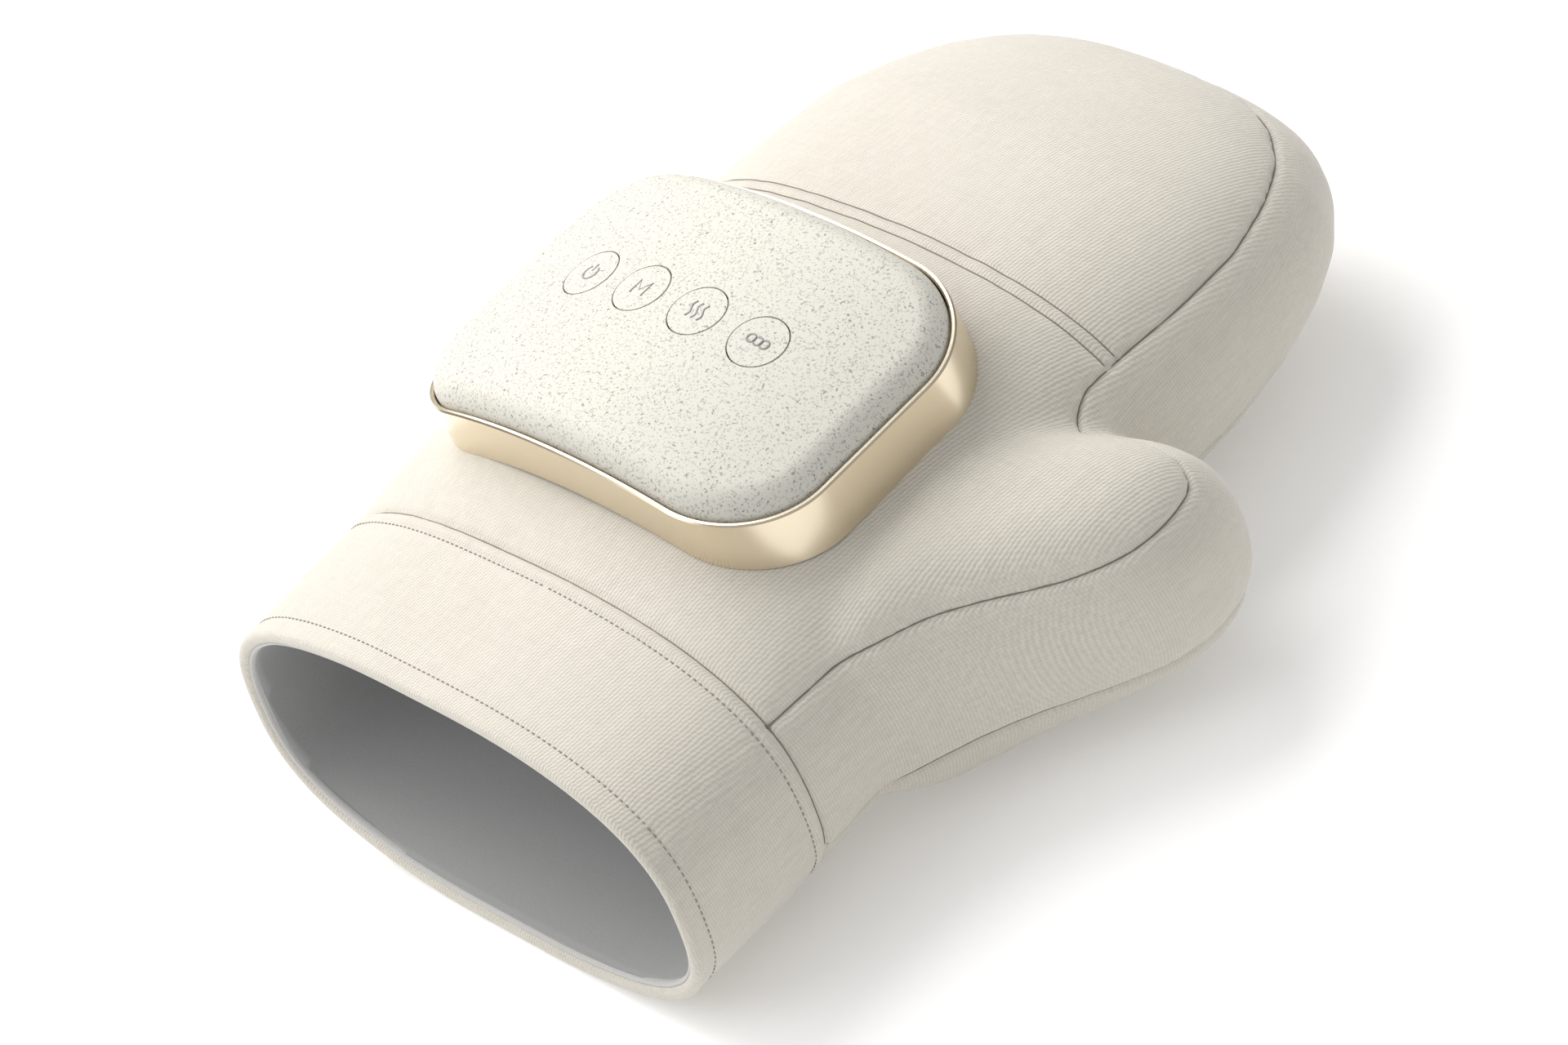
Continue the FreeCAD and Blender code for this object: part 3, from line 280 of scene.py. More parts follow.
LINEN_COLOR = (0.70, 0.66, 0.585, 1.0)
MATERIALS = {
    "shell_fabric": linen("linen_twill", LINEN_COLOR),
    "binding_fabric": knit("binding_knit", (0.60, 0.595, 0.58, 1.0)),
    "lining_fabric": knit("lining_knit", (0.40, 0.40, 0.40, 1.0)),
    "ring_metal": satin_metal("champagne_metal", (0.83, 0.73, 0.56, 1.0)),
    "lid_plastic": speckled("speckled_cream", (0.71, 0.69, 0.62, 1.0), (0.42, 0.40, 0.37, 1.0),
                            (0.22, 0.21, 0.20, 1.0)),
    # the lid seal's near-black colour is painted shade: it stands for the shadow line in the gap between the ring
    # and the lid
    "gasket_rubber": moulded("seal_painted_gap_shade", (0.02, 0.019, 0.018, 1.0), 0.6),
    "housing_plastic": moulded("housing_plastic", (0.05, 0.05, 0.052, 1.0), 0.5),
    "bladder_film": moulded("bladder_film", (0.42, 0.50, 0.54, 1.0), 0.3, 700.0),
    "heater_film": moulded("heater_film", (0.55, 0.24, 0.05, 1.0), 0.3, 900.0),
    "foam": moulded("open_foam", (0.70, 0.66, 0.45, 1.0), 0.9, 1300.0),
    "board": moulded("circuit_board", (0.01, 0.10, 0.03, 1.0), 0.35),
    "component": moulded("component_black", (0.015, 0.015, 0.016, 1.0), 0.45),
    "cell_wrap": moulded("cell_wrap", (0.03, 0.10, 0.42, 1.0), 0.25, 600.0),
    "motor_steel": moulded("motor_steel", (0.55, 0.56, 0.57, 1.0), 0.3, 1500.0, 1.0),
    "steel": moulded("plated_steel", (0.60, 0.60, 0.60, 1.0), 0.28, 2200.0, 1.0),
    "hose_silicone": moulded("hose_silicone", (0.62, 0.66, 0.66, 1.0), 0.35, 900.0),
}
MATERIALS["button_plastic"] = MATERIALS["lid_plastic"]
THREAD = moulded("stitch_thread", (0.33, 0.31, 0.28, 1.0), 0.85, 3000.0)
# the seam cords' dark colour is painted shade: it draws the shade at the bottom of the seam grooves as a dark line
PAINTED_SEAM_SHADE = moulded("painted_seam_shade", (0.24, 0.22, 0.19, 1.0), 0.9, 3000.0)
INK = moulded("printed_grey", (0.36, 0.355, 0.35, 1.0), 0.6)


def dress_nodes():
    """Gives every CAD node the procedural material of its record slot."""
    for entry in frame["record"]["subparts"]:
        mesh = frame["nodes"][entry["node"]].data
        mesh.materials.clear()
        mesh.materials.append(MATERIALS[entry["material_slot"]])


# ---------------------------------------------------------------- mesh helpers


def new_object(name, mesh, material, body="mitten"):
    """Links a mesh as a smooth-shaded piece that rides on a body."""
    mesh.name = name
    item = bpy.data.objects.new(name, mesh)
    bpy.context.scene.collection.objects.link(item)
    if material is not None:
        mesh.materials.clear()
        mesh.materials.append(material)
        mesh.polygons.foreach_set("use_smooth", [True] * len(mesh.polygons))
        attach(item, body)
    return item


def mesh_from(name, points, faces):
    """A mesh from points and faces, with nothing reaching below the floor."""
    mesh = bpy.data.meshes.new(name)
    mesh.from_pydata([(p[0], p[1], max(p[2], 0.0)) for p in points], [], faces)
    mesh.update()
    return mesh


def coordinates(mesh):
    flat = np.zeros(len(mesh.vertices) * 3)
    mesh.vertices.foreach_get("co", flat)
    return flat.reshape(-1, 3)


def normals(mesh):
    flat = np.zeros(len(mesh.vertices) * 3)
    mesh.vertices.foreach_get("normal", flat)
    return flat.reshape(-1, 3)


def set_coordinates(mesh, points):
    mesh.vertices.foreach_set("co", points.ravel())
    mesh.update()


def evaluated(item):
    """The mesh of an object after its modifiers, as a mesh of its own."""
    graph = bpy.context.evaluated_depsgraph_get()
    return bpy.data.meshes.new_from_object(item.evaluated_get(graph))


RING_COUNT = 96              # points round each station of a volume
STATION_STEP = 2.5
FINGER_SHIFT = 1.4           # the fingertips stand a little away from the thumb,
SHIFT_FROM, SHIFT_RUN = 75, 50           # from here along y, coming in over this length
THUMB_ROUNDNESS = 2.4
SMOOTH_FACTOR = 0.5


def ease(t):
    t = np.clip(t, 0.0, 1.0)
    return t * t * (3 - 2 * t)


def oval(half, low, high, roundness):
    """A superellipse of RING_COUNT points, in millimetres, as (u, v)."""
    angle = 2 * np.pi * np.arange(RING_COUNT) / RING_COUNT
    c, s = np.cos(angle), np.sin(angle)
    u = half * np.sign(c) * np.abs(c) ** (2 / roundness)
    v = (low + high) / 2 + (high - low) / 2 * np.sign(s) * np.abs(s) ** (2 / roundness)
    return u, v


def ring_faces(first, following, size):
    """The faces that join two rings of points, given where each ring starts."""
    after = [(m + 1) % size for m in range(size)]
    return [(first + m, first + n, following + n, following + m) for m, n in enumerate(after)]


def cap(first, size):
    return tuple(range(first, first + size))


def closed_tube(rings):
    """Vertices and faces of a tube through rings of equal count, closed at both ends."""
    starts = [i * RING_COUNT for i in range(len(rings))]
    faces = []
    for first, following in zip(starts, starts[1:]):
        faces += ring_faces(first, following, RING_COUNT)
    faces += [cap(0, RING_COUNT)[::-1], cap(starts[-1], RING_COUNT)]
    return np.concatenate(rings), faces


def stations_between(stations):
    """Station rows interpolated at a fine, even spacing."""
    table = np.array(stations, float)
    where = np.arange(table[0, 0], table[-1, 0] + STATION_STEP / 2, STATION_STEP)
    where[-1] = table[-1, 0]
    fine = [np.interp(where, table[:, 0], table[:, i]) for i in range(1, table.shape[1])]
    return np.column_stack([where, *fine])


def hand_volume(stations):
    """The palm and fingers through rows of y, half width, lowest, highest and roundness."""
    rings = []
    for y, half, low, high, roundness in stations_between(stations):
        u, v = oval(half, low, high, roundness)
        shift = FINGER_SHIFT * ease((y - SHIFT_FROM) / SHIFT_RUN)
        rings.append(np.column_stack([u - shift, np.full_like(u, y), v]) * MM)
    return closed_tube(rings)


def thumb_volume(stations):
    """The thumb through rows of x, middle y, half length, level and rise."""
    rings = []
    for x, middle, half, level, rise in stations_between(stations):
        u, v = oval(half, level - rise, level + rise, THUMB_ROUNDNESS)
        rings.append(np.column_stack([np.full_like(u, x), middle + u, v]) * MM)
    return closed_tube(rings)


def merged_skin(name, volumes, voxel, smoothing):
    """One closed skin round several overlapping volumes, smoothed where they meet."""
    points, faces, start = [], [], 0
    for volume_points, volume_faces in volumes:
        points.append(volume_points)
        faces += [tuple(start + i for i in face) for face in volume_faces]
        start += len(volume_points)
    raw = new_object(name + "_raw", mesh_from(name, np.concatenate(points), faces), None)
    remesh = raw.modifiers.new("remesh", "REMESH")
    remesh.mode, remesh.voxel_size = "VOXEL", voxel
    smooth = raw.modifiers.new("smooth", "SMOOTH")
    smooth.factor, smooth.iterations = SMOOTH_FACTOR, smoothing
    skin = evaluated(raw)
    bpy.data.objects.remove(raw)
    return skin


# ---------------------------------------------------------------- seam lines

PALM_RISE = 3.3              # the top seam runs this far above the CAD gusset's edge at the palm
THUMB_DROP = 3.6             # and comes down this far towards the tip of the thumb,
DROP_FROM, DROP_RUN = 90, 28             # from here along x, over this length
FINGER_RISE, FINGER_FALL = 5.5, 0.09     # past the thumb it starts higher and falls at this slope,
FALL_FROM, FALL_RUN = 40, 12             # from here along y, coming in over this length
BAND_LEAN = 0.085            # the band seam and the cuff's edge lean: low down they stand further out
CUFF_LEAN = 0.13
CROSS_GAP = 1.85             # half the gap between the two rows of the cross seam
HEM_STITCH = 4.6             # each stitch row's distance from the cuff's edge and the band seam
BAND_STITCH = 4.0
HEM_LINE = 0.3               # the rolled hem's and the lining's distance in from the cuff's edge
LINING_EDGE = 0.5
BAND_SEAM_IN, BAND_SEAM_HEIGHT = 1.4, 76.0   # the band seam crosses this far inside the CAD band,
CUFF_IN, CUFF_HEIGHT = 0.2, 39.0             # and the cuff's edge inside the binding, at these heights
LOW_SEAM_RISE, CROSS_SEAM_IN = 2.5, 1.25     # how far the other two lie past their CAD panels' edges

ALONG, UP = Vector((0.0, 1.0, 0.0)), Vector((0.0, 0.0, 1.0))
BAND_NORMAL = Vector((0.0, 1.0, -BAND_LEAN)).normalized()
CUFF_NORMAL = Vector((0.0, 1.0, -CUFF_LEAN)).normalized()
BAND_PLACE = Vector((0.0, BAND - BAND_SEAM_IN, BAND_SEAM_HEIGHT)) * MM
CUFF_MIDDLE = Vector((0.0, WRIST + CUFF_IN, CUFF_HEIGHT)) * MM
TOP_PLACE = Vector((0.0, 0.0, TOP_SEAM)) * MM
LOW_PLACE = Vector((0.0, 0.0, BOTTOM_SEAM + LOW_SEAM_RISE)) * MM
CROSS_PLACE = Vector((0.0, CROSS_SEAM + CROSS_SEAM_IN, 0.0)) * MM

SNAP, SLICE_SNAP = 0.25 * MM, 0.01 * MM  # a cut this close to a vertex goes through it


def top_seam_level(x, y):
    """The height of the top seam: it dips round the thumb and falls towards the fingertips."""
    round_thumb = PALM_RISE - THUMB_DROP * ease((x - DROP_FROM) / DROP_RUN)
    over_fingers = FINGER_RISE - FINGER_FALL * (y - CROSS_SEAM)
    share = ease((y - FALL_FROM) / FALL_RUN)
    return TOP_SEAM + round_thumb * (1 - share) + over_fingers * share


def band_line(z):
    return BAND_PLACE.y / MM + BAND_LEAN * (z - BAND_PLACE.z / MM)


def past_band(point):
    return point[1] > band_line(point[2])


def above_top_seam(point):
    return point[2] > top_seam_level(point[0], point[1])


def everywhere(_):
    return True


def warp_top(points, back=False):
    """Bends the skin so that the top seam lies in one level plane, or bends it back."""
    shift = (top_seam_level(points[:, 0] / MM, points[:, 1] / MM) - TOP_SEAM) * MM
    bent = points.copy()
    bent[:, 2] += shift if back else -shift
    return bent


def score(mesh, place, direction, warp=None, clear=False):
    """Cuts a line of edges across a mesh along a plane, which may be bent by warp."""
    if warp:
        set_coordinates(mesh, warp(coordinates(mesh)))
    work = bmesh.new()
    work.from_mesh(mesh)
    geometry = work.verts[:] + work.edges[:] + work.faces[:]
    bmesh.ops.bisect_plane(work, geom=geometry, dist=SNAP, plane_co=place, plane_no=direction,
                           use_snap_center=True, clear_inner=clear)
    work.to_mesh(mesh)
    work.free()
    mesh.update()
    if warp:
        set_coordinates(mesh, warp(coordinates(mesh), back=True))


def slice_loop(mesh, place, direction, warp=None):
    """The longest line in which a bent plane meets a mesh, as points with normals."""
    work = bmesh.new()
    work.from_mesh(mesh)
    if warp:
        bent = warp(np.array([v.co for v in work.verts]))
        for vertex, spot in zip(work.verts, bent):
            vertex.co = spot
    cut = bmesh.ops.bisect_plane(work, geom=work.verts[:] + work.edges[:] + work.faces[:],
                                 dist=SLICE_SNAP, plane_co=place, plane_no=direction)
    edges = {e for e in cut["geom_cut"] if isinstance(e, bmesh.types.BMEdge)}
    chains = []
    while edges:
        edge = edges.pop()
        chain = [edge.verts[0], edge.verts[1]]
        for _ in range(2):
            while following := next((e for e in chain[-1].link_edges if e in edges), None):
                edges.remove(following)
                chain.append(following.other_vert(chain[-1]))
            chain.reverse()
        chains.append(chain)
    longest = max(chains, key=len)
    work.normal_update()
    points = np.array([v.co for v in longest])
    sides = np.array([v.normal for v in longest])
    work.free()
    if warp:
        points = warp(points, back=True)
    return points, sides


def even_line(points, sides, step):
    """The line's points and normals at an even spacing along it."""
    lengths = np.concatenate([[0], np.cumsum(np.linalg.norm(np.diff(points, axis=0), axis=1))])
    count = max(int(lengths[-1] / step), 3)
    where = np.linspace(0, lengths[-1], count, endpoint=False)
    place = np.column_stack([np.interp(where, lengths, points[:, i]) for i in range(3)])
    side = np.column_stack([np.interp(where, lengths, sides[:, i]) for i in range(3)])
    return place, side / np.linalg.norm(side, axis=1)[:, None]


# ---------------------------------------------------------------- fabric shell

SOLE = -1.0                  # the flat underside is clamped at the floor, so it starts a little below
# y, half width, lowest, highest, roundness: the palm and the fingers
HAND_STATIONS = [
    (WRIST - 14, HALF - 0.9, 0.3, CREST - 10.2, 2.65), (WRIST, HALF - 0.5, 0.0, CREST - 9.8, 2.65),
    (BAND - 22, HALF - 0.1, -0.5, CREST - 8.2, 2.65), (BAND, HALF, SOLE, CREST - 6.0, 2.6),
    (-46, HALF + 0.2, SOLE, CREST - 1.8, 2.4), (-20, HALF + 0.3, SOLE, CREST - 0.4, 2.45),
    (15, HALF + 0.3, SOLE, CREST - 0.4, 2.5), (46, HALF - 0.4, SOLE, CREST - 1.2, 2.45),
    (62, HALF - 1.3, -0.4, CREST - 3.2, 2.4), (85, HALF - 1.0, 1.0, CREST - 6.4, 2.4),
    (105, 84.9, 3.5, 79.0, 2.4), (122, 80.3, 6.5, 74.0, 2.35), (135, 73.8, 10.0, 69.5, 2.3),
    (146, 64.0, 15.0, 64.0, 2.25), (153, 52.5, 21.0, 58.0, 2.2), (157, 39.5, 27.0, 51.5, 2.1),
]
# x, middle y, half length, level, rise: the thumb
THUMB_STATIONS = [
    (54, -4, 57, 39, 36), (72, -3, 55, 39, 35), (84, -1, 50, 39, 33.5), (95, 11, 40, 39, 31.8),
    (105, 19, 34, 39, 30), (115, 25, 28, 39, 27), (123, 27.5, 21, 39, 22.3),
    (127.5, 28, 14.5, 39, 16.5), (130.2, 28, 7.5, 39, 9.5),
]
SHELL_VOXEL, SHELL_SMOOTHING = 1.8 * MM, 16
SEAM_STEPS = (-2.2, -0.9, 0.0, 0.9, 2.2)  # extra lines of edges beside each seam and stitch row
CROSS_STEPS = (-0.8, 0.0, 0.8)
STITCH_STEPS = (-1, 0, 1)

# width and depth of the groove at a seam, the cross seam's rows, the band seam and a stitch row
SEAM_GROOVE, CROSS_GROOVE, BAND_GROOVE, STITCH_GROOVE = (0.8, 0.8), (0.7, 0.5), (0.8, 0.9), (1.1, 0.35)
FOLD_HEIGHT, FOLD_PLACE, FOLD_WIDTH = 0.45, 2.0, 1.5     # the band's turned edge, beside its seam
PUFF_HEIGHT, PUFF_REACH, PUFF_SINK = 0.9, 7.0, 0.5       # the padding between the seams
LEAST_TILT = 0.08            # the least squared tilt counted, where the skin lies almost level
FAR = 60.0                   # the distance given to a seam that doesn't cross this part
HOLLOW_SCALE, HOLLOW_HEIGHT = 0.028, 0.55    # faint hollows all over, and puckers beside the seams
PUCKER_SCALE, PUCKER_RISE_SCALE, PUCKER_HEIGHT, PUCKER_REACH = 0.16, 0.1, 0.28, 5.0
PUCKER_START = 7             # where the puckers' noise starts, to keep it apart from the hollows'


def groove(distance, shape):
    width, depth = shape
    return -depth * np.exp(-(distance / width) ** 2)


def sewn_offset(points, outward):
    """How far each point of the skin moves along its normal, in millimetres, for seams and padding."""
    x, y, z = (points / MM).T
    slope = np.sqrt(np.clip(1 - outward[:, 2] ** 2, LEAST_TILT, 1))
    band = y - band_line(z)
    level = top_seam_level(x, y)
    top = np.where(band > 0, np.abs(z - level) / slope, FAR)
    low = np.where(band > 0, np.abs(z - LOW_PLACE.z / MM) / slope, FAR)
    rows = np.abs(np.abs(y - CROSS_PLACE.y / MM) - CROSS_GAP)
    cross = np.where((z > level) & (band > 0), rows, FAR)
    hem = (y - CUFF_MIDDLE.y / MM) - CUFF_LEAN * (z - CUFF_MIDDLE.z / MM)
    offset = groove(top, SEAM_GROOVE) + groove(low, SEAM_GROOVE) + groove(cross, CROSS_GROOVE)
    offset += groove(band, BAND_GROOVE) + groove(band + BAND_STITCH, STITCH_GROOVE)
    offset += groove(hem - HEM_STITCH, STITCH_GROOVE)
    offset += np.where(band < 0, -groove(band + FOLD_PLACE, (FOLD_WIDTH, FOLD_HEIGHT)), 0)
    nearest = np.minimum(np.minimum(top, low), np.minimum(cross, np.abs(band)))
    offset += PUFF_HEIGHT * (1 - np.exp(-nearest / PUFF_REACH)) - PUFF_SINK
    return offset, nearest


def soften(points, nearest):
    """Slight puckers beside the seams and faint hollows over the padding, in millimetres."""
    moved = np.zeros(len(points))
    for i, point in enumerate(points):
        spot = Vector(point) / MM
        wide = noise.noise(spot * HOLLOW_SCALE)
        pucker = noise.noise(Vector((spot.x * PUCKER_SCALE, spot.y * PUCKER_SCALE,
                                     spot.z * PUCKER_RISE_SCALE + PUCKER_START)))
        moved[i] = HOLLOW_HEIGHT * wide + PUCKER_HEIGHT * pucker * math.exp(-nearest[i] / PUCKER_REACH)
    return moved


def sewn(points, outward):
    """The points after the seams, padding and puckers have moved them along their normals."""
    offset, nearest = sewn_offset(points, outward)
    moved = points + outward * ((offset + soften(points, nearest)) * MM)[:, None]
    moved[:, 2] = np.maximum(moved[:, 2], 0.0)
    return moved


def build_shell_skin():
    """The whole outer fabric as one skin, cut at the cuff, scored along its seams, padded and sewn.

    The lines of the seams and stitches are taken off the plain skin and sewn the same way, so that
    they lie in the grooves."""
    skin = merged_skin("shell", [hand_volume(HAND_STATIONS), thumb_volume(THUMB_STATIONS)],
                       SHELL_VOXEL, SHELL_SMOOTHING)
    score(skin, CUFF_MIDDLE, CUFF_NORMAL, clear=True)
    lines = {"top": slice_loop(skin, TOP_PLACE, UP, warp=warp_top),
             "bottom": slice_loop(skin, LOW_PLACE, UP),
             "band": slice_loop(skin, BAND_PLACE, BAND_NORMAL),
             "cross_near": slice_loop(skin, CROSS_PLACE - ALONG * CROSS_GAP * MM, ALONG),
             "cross_far": slice_loop(skin, CROSS_PLACE + ALONG * CROSS_GAP * MM, ALONG),
             "hem_stitch": slice_loop(skin, CUFF_MIDDLE + CUFF_NORMAL * HEM_STITCH * MM, CUFF_NORMAL),
             "band_stitch": slice_loop(skin, BAND_PLACE - BAND_NORMAL * BAND_STITCH * MM, BAND_NORMAL),
             "hem": slice_loop(skin, CUFF_MIDDLE + CUFF_NORMAL * HEM_LINE * MM, CUFF_NORMAL)}
    for step in SEAM_STEPS:
        score(skin, TOP_PLACE + UP * step * MM, UP, warp=warp_top)
        score(skin, LOW_PLACE + UP * step * MM, UP)
        score(skin, BAND_PLACE + BAND_NORMAL * step * MM, BAND_NORMAL)
    for row in (-CROSS_GAP, CROSS_GAP):
        for step in CROSS_STEPS:
            score(skin, CROSS_PLACE + ALONG * (row + step) * MM, ALONG)
    score(skin, CROSS_PLACE, ALONG)
    for step in STITCH_STEPS:
        score(skin, CUFF_MIDDLE + CUFF_NORMAL * (HEM_STITCH + step) * MM, CUFF_NORMAL)
        score(skin, BAND_PLACE - BAND_NORMAL * (BAND_STITCH + step) * MM, BAND_NORMAL)
    set_coordinates(skin, sewn(coordinates(skin), normals(skin)))
    return skin, {name: (sewn(points, sides), sides) for name, (points, sides) in lines.items()}


PANELS = ("cuff_band", "bottom_panel", "side_gusset", "palm_top_panel", "finger_top_panel")


def panel_of(x, y, z):
    """The name of the panel that a face belongs to, from its middle in millimetres."""
    if y < band_line(z):
        return "cuff_band"
    if z < LOW_PLACE.z / MM:
        return "bottom_panel"
    if z < top_seam_level(x, y):
        return "side_gusset"
    return "palm_top_panel" if y < CROSS_PLACE.y / MM else "finger_top_panel"


def split_panels(skin):
    """Makes each sewn panel a piece of its own, cut from the one skin along its seams."""
    owner = [panel_of(*(face.center / MM)) for face in skin.polygons]
    for name in PANELS:
        work = bmesh.new()
        work.from_mesh(skin)
        work.faces.ensure_lookup_table()
        strangers = [work.faces[i] for i, panel in enumerate(owner) if panel != name]
        bmesh.ops.delete(work, geom=strangers, context="FACES")
        mesh = bpy.data.meshes.new(name)
        work.to_mesh(mesh)
        work.free()
        piece = new_object("fabric_" + name, mesh, MATERIALS["shell_fabric"])
        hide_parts(name)


# ---------------------------------------------------------------- stitches, cords and rolled edges


STITCH_PITCH, STITCH_SHARE, STITCH_RADIUS = 1.9 * MM, 0.66, 0.18 * MM
STITCH_BOWS = (-0.6, 0.6, 1.0, 0.6, -0.6)    # the height of each ring of a stitch, in radii
STITCH_SPANS = len(STITCH_BOWS) - 1
THREAD_SIDES = 6
CORD_STEP, CORD_RADIUS = 1.2 * MM, 0.2 * MM
CORD_LIFT = 0.5              # how far a seam's cord stands out of its groove, in radii
LIP_STEP = 2.0 * MM


def thread_ring(centre, across, side, radius):
    """One ring of points round a thread."""
    angles = [2 * math.pi * m / THREAD_SIDES for m in range(THREAD_SIDES)]
    return [centre + (across * math.cos(angle) + side * math.sin(angle)) * radius for angle in angles]


def stitch_row(name, points, sides):
    """A row of short thread stitches, each an arched loop that dips into the fabric."""
    place, side = even_line(points, sides, STITCH_PITCH / STITCH_SPANS)
    parts, faces = [], []
    for start in range(0, len(place) - STITCH_SPANS, STITCH_SPANS):
        reach = place[start + STITCH_SPANS] - place[start]
        across = np.cross(reach / np.linalg.norm(reach), side[start])
        rings = [len(parts) + k * THREAD_SIDES for k in range(len(STITCH_BOWS))]
        for k, bow in enumerate(STITCH_BOWS):
            centre = (place[start] + reach * STITCH_SHARE * k / STITCH_SPANS
                      + side[start] * bow * STITCH_RADIUS)
            parts += thread_ring(centre, across, side[start], STITCH_RADIUS)
        for first, following in zip(rings, rings[1:]):
            faces += ring_faces(first, following, THREAD_SIDES)
        faces += [cap(rings[0], THREAD_SIDES)[::-1], cap(rings[-1], THREAD_SIDES)]
    return new_object(name, mesh_from(name, parts, faces), THREAD)


def seam_shade_cord(name, points, sides, keep):
    """A dark cord at the bottom of a seam, where keep allows: painted shade, a thin dark line that stands for the
    shade in the seam's groove.
    """
    place, side = even_line(points, sides, CORD_STEP)
    count, parts, faces, start = len(place), [], [], {}
    for i in range(count):
        if not keep(place[i] / MM):
            continue
        reach = place[(i + 1) % count] - place[i - 1]
        across = np.cross(reach / np.linalg.norm(reach), side[i])
        start[i] = len(parts)
        parts += thread_ring(place[i] + side[i] * CORD_LIFT * CORD_RADIUS, across, side[i], CORD_RADIUS)
    for i, first in start.items():
        following = start.get((i + 1) % count)
        if following is None:
            faces.append(cap(first, THREAD_SIDES))
        else:
            before = [(m - 1) % THREAD_SIDES for m in range(THREAD_SIDES)]
            faces += [(first + m, first + n, following + n, following + m) for m, n in enumerate(before)]
        if (i - 1) % count not in start:
            faces.append(cap(first, THREAD_SIDES)[::-1])
    return new_object(name, mesh_from(name, parts, faces), PAINTED_SEAM_SHADE)


def swept_lip(name, points, sides, profile, slot):
    """A closed band swept round a line: profile gives (inward, out past the edge) in millimetres."""
    place, side = even_line(points, sides, LIP_STEP)
    count, size = len(place), len(profile)
    out = -np.array(CUFF_NORMAL)
    flat = side - (side @ out)[:, None] * out
    flat /= np.linalg.norm(flat, axis=1)[:, None]
    parts = [place[i] - flat[i] * inward * MM + out * past * MM
             for i in range(count) for inward, past in profile]
    faces = []
    for i in range(count):
        faces += ring_faces(i * size, (i + 1) % count * size, size)
    return new_object(name, mesh_from(name, parts, faces), MATERIALS[slot])


def round_profile(inward, past, width, height, count=14):
    """An oval profile about a middle, as (inward, past) pairs."""
    return [(inward + width / 2 * math.cos(2 * math.pi * i / count),
             past + height / 2 * math.sin(2 * math.pi * i / count)) for i in range(count)]


# ---------------------------------------------------------------- lining

LINING_STATIONS = [
    (WRIST - 12, HALF - 4.7, 4.0, CREST - 14.4, 3.0), (WRIST, HALF - 4.7, 4.0, CREST - 14.4, 3.0),
    (BAND - 20, HALF - 5.4, 4.7, CREST - 13.0, 2.9), (BAND + 1, HALF - 6.5, 5.6, CREST - 13.6, 2.7),
    (-46, 79, 9.5, 67.0, 2.5), (-33, 76.5, 14.8, 61.2, 2.5), (0, 75.5, 15.5, 60.4, 2.5),
    (45, 75, 15.6, 60.4, 2.5), (72, 74, 17, 61, 2.5), (100, 69, 19.5, 60, 2.4),
    (120, 60, 23.5, 57, 2.3), (134, 46, 29, 52.5, 2.2), (141, 30, 34, 47.5, 2.1),
]
THUMB_LINING_STATIONS = [
    (50, -2, 40, 38, 19), (84, 3, 37, 38, 18), (96, 14, 28, 38, 16.5), (106, 20, 21.5, 38, 15),
    (115, 25, 15.5, 38, 12), (121, 27.5, 9, 38, 8),
]
LINING_VOXEL, LINING_SMOOTHING, LINING_THICKNESS = 3.0 * MM, 10, 1.2 * MM


def build_lining():
    """The grey lining of the hand space and thumb pocket, open at the cuff."""
    skin = merged_skin("lining", [hand_volume(LINING_STATIONS), thumb_volume(THUMB_LINING_STATIONS)],
                       LINING_VOXEL, LINING_SMOOTHING)
    score(skin, CUFF_MIDDLE + CUFF_NORMAL * LINING_EDGE * MM, CUFF_NORMAL, clear=True)
    lining = new_object("soft_lining", skin, MATERIALS["lining_fabric"])
    thick = lining.modifiers.new("thickness", "SOLIDIFY")
    thick.thickness, thick.offset = LINING_THICKNESS, -1.0
    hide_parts("hand_lining")


# ---------------------------------------------------------------- button symbols

INK_WIDTH = 0.5
INK_LIFT, INK_THICKNESS = 0.03 * MM, 0.06 * MM


def arc_points(cx, cy, radius, start, end, count=20):
    return [(cx + radius * math.cos(math.radians(start + (end - start) * i / count)),
             cy + radius * math.sin(math.radians(start + (end - start) * i / count)))
            for i in range(count + 1)]


def wave_points(cx, height, swing, count=16):
    return [(cx + swing * math.sin(2 * math.pi * i / count), height * (i / count - 0.5))
            for i in range(count + 1)]


# each button's strokes: lines of points to the right of its middle and ahead of it
SYMBOLS = {
    "power_button": [arc_points(0, 0, 2.3, 125, 415), [(0, 0.4), (0, 3.0)]],
    "mode_button": [[(-2.2, -2.3), (-2.2, 2.3), (0, -0.8), (2.2, 2.3), (2.2, -2.3)]],
    "heat_button": [wave_points(cx, 5.0, 0.55) for cx in (-2.1, 0.0, 2.1)],
    "pressure_button": [arc_points(cx, cy, 1.25, 0, 360) for cx, cy in
                        ((-2.2, 0.0), (0.0, 0.0), (2.2, 0.0))],
}


def ribbon(points):
    """A flat ribbon of ink along a line in the plane, as vertices and faces."""
    line = np.array(points)
    heading = np.gradient(line, axis=0)
    heading /= np.linalg.norm(heading, axis=1)[:, None]
    across = np.column_stack([-heading[:, 1], heading[:, 0]]) * INK_WIDTH / 2
    edge = np.concatenate([line + across, line - across])
    count = len(line)
    faces = [(i, i + 1, count + i + 1, count + i) for i in range(count - 1)]
    return edge, faces


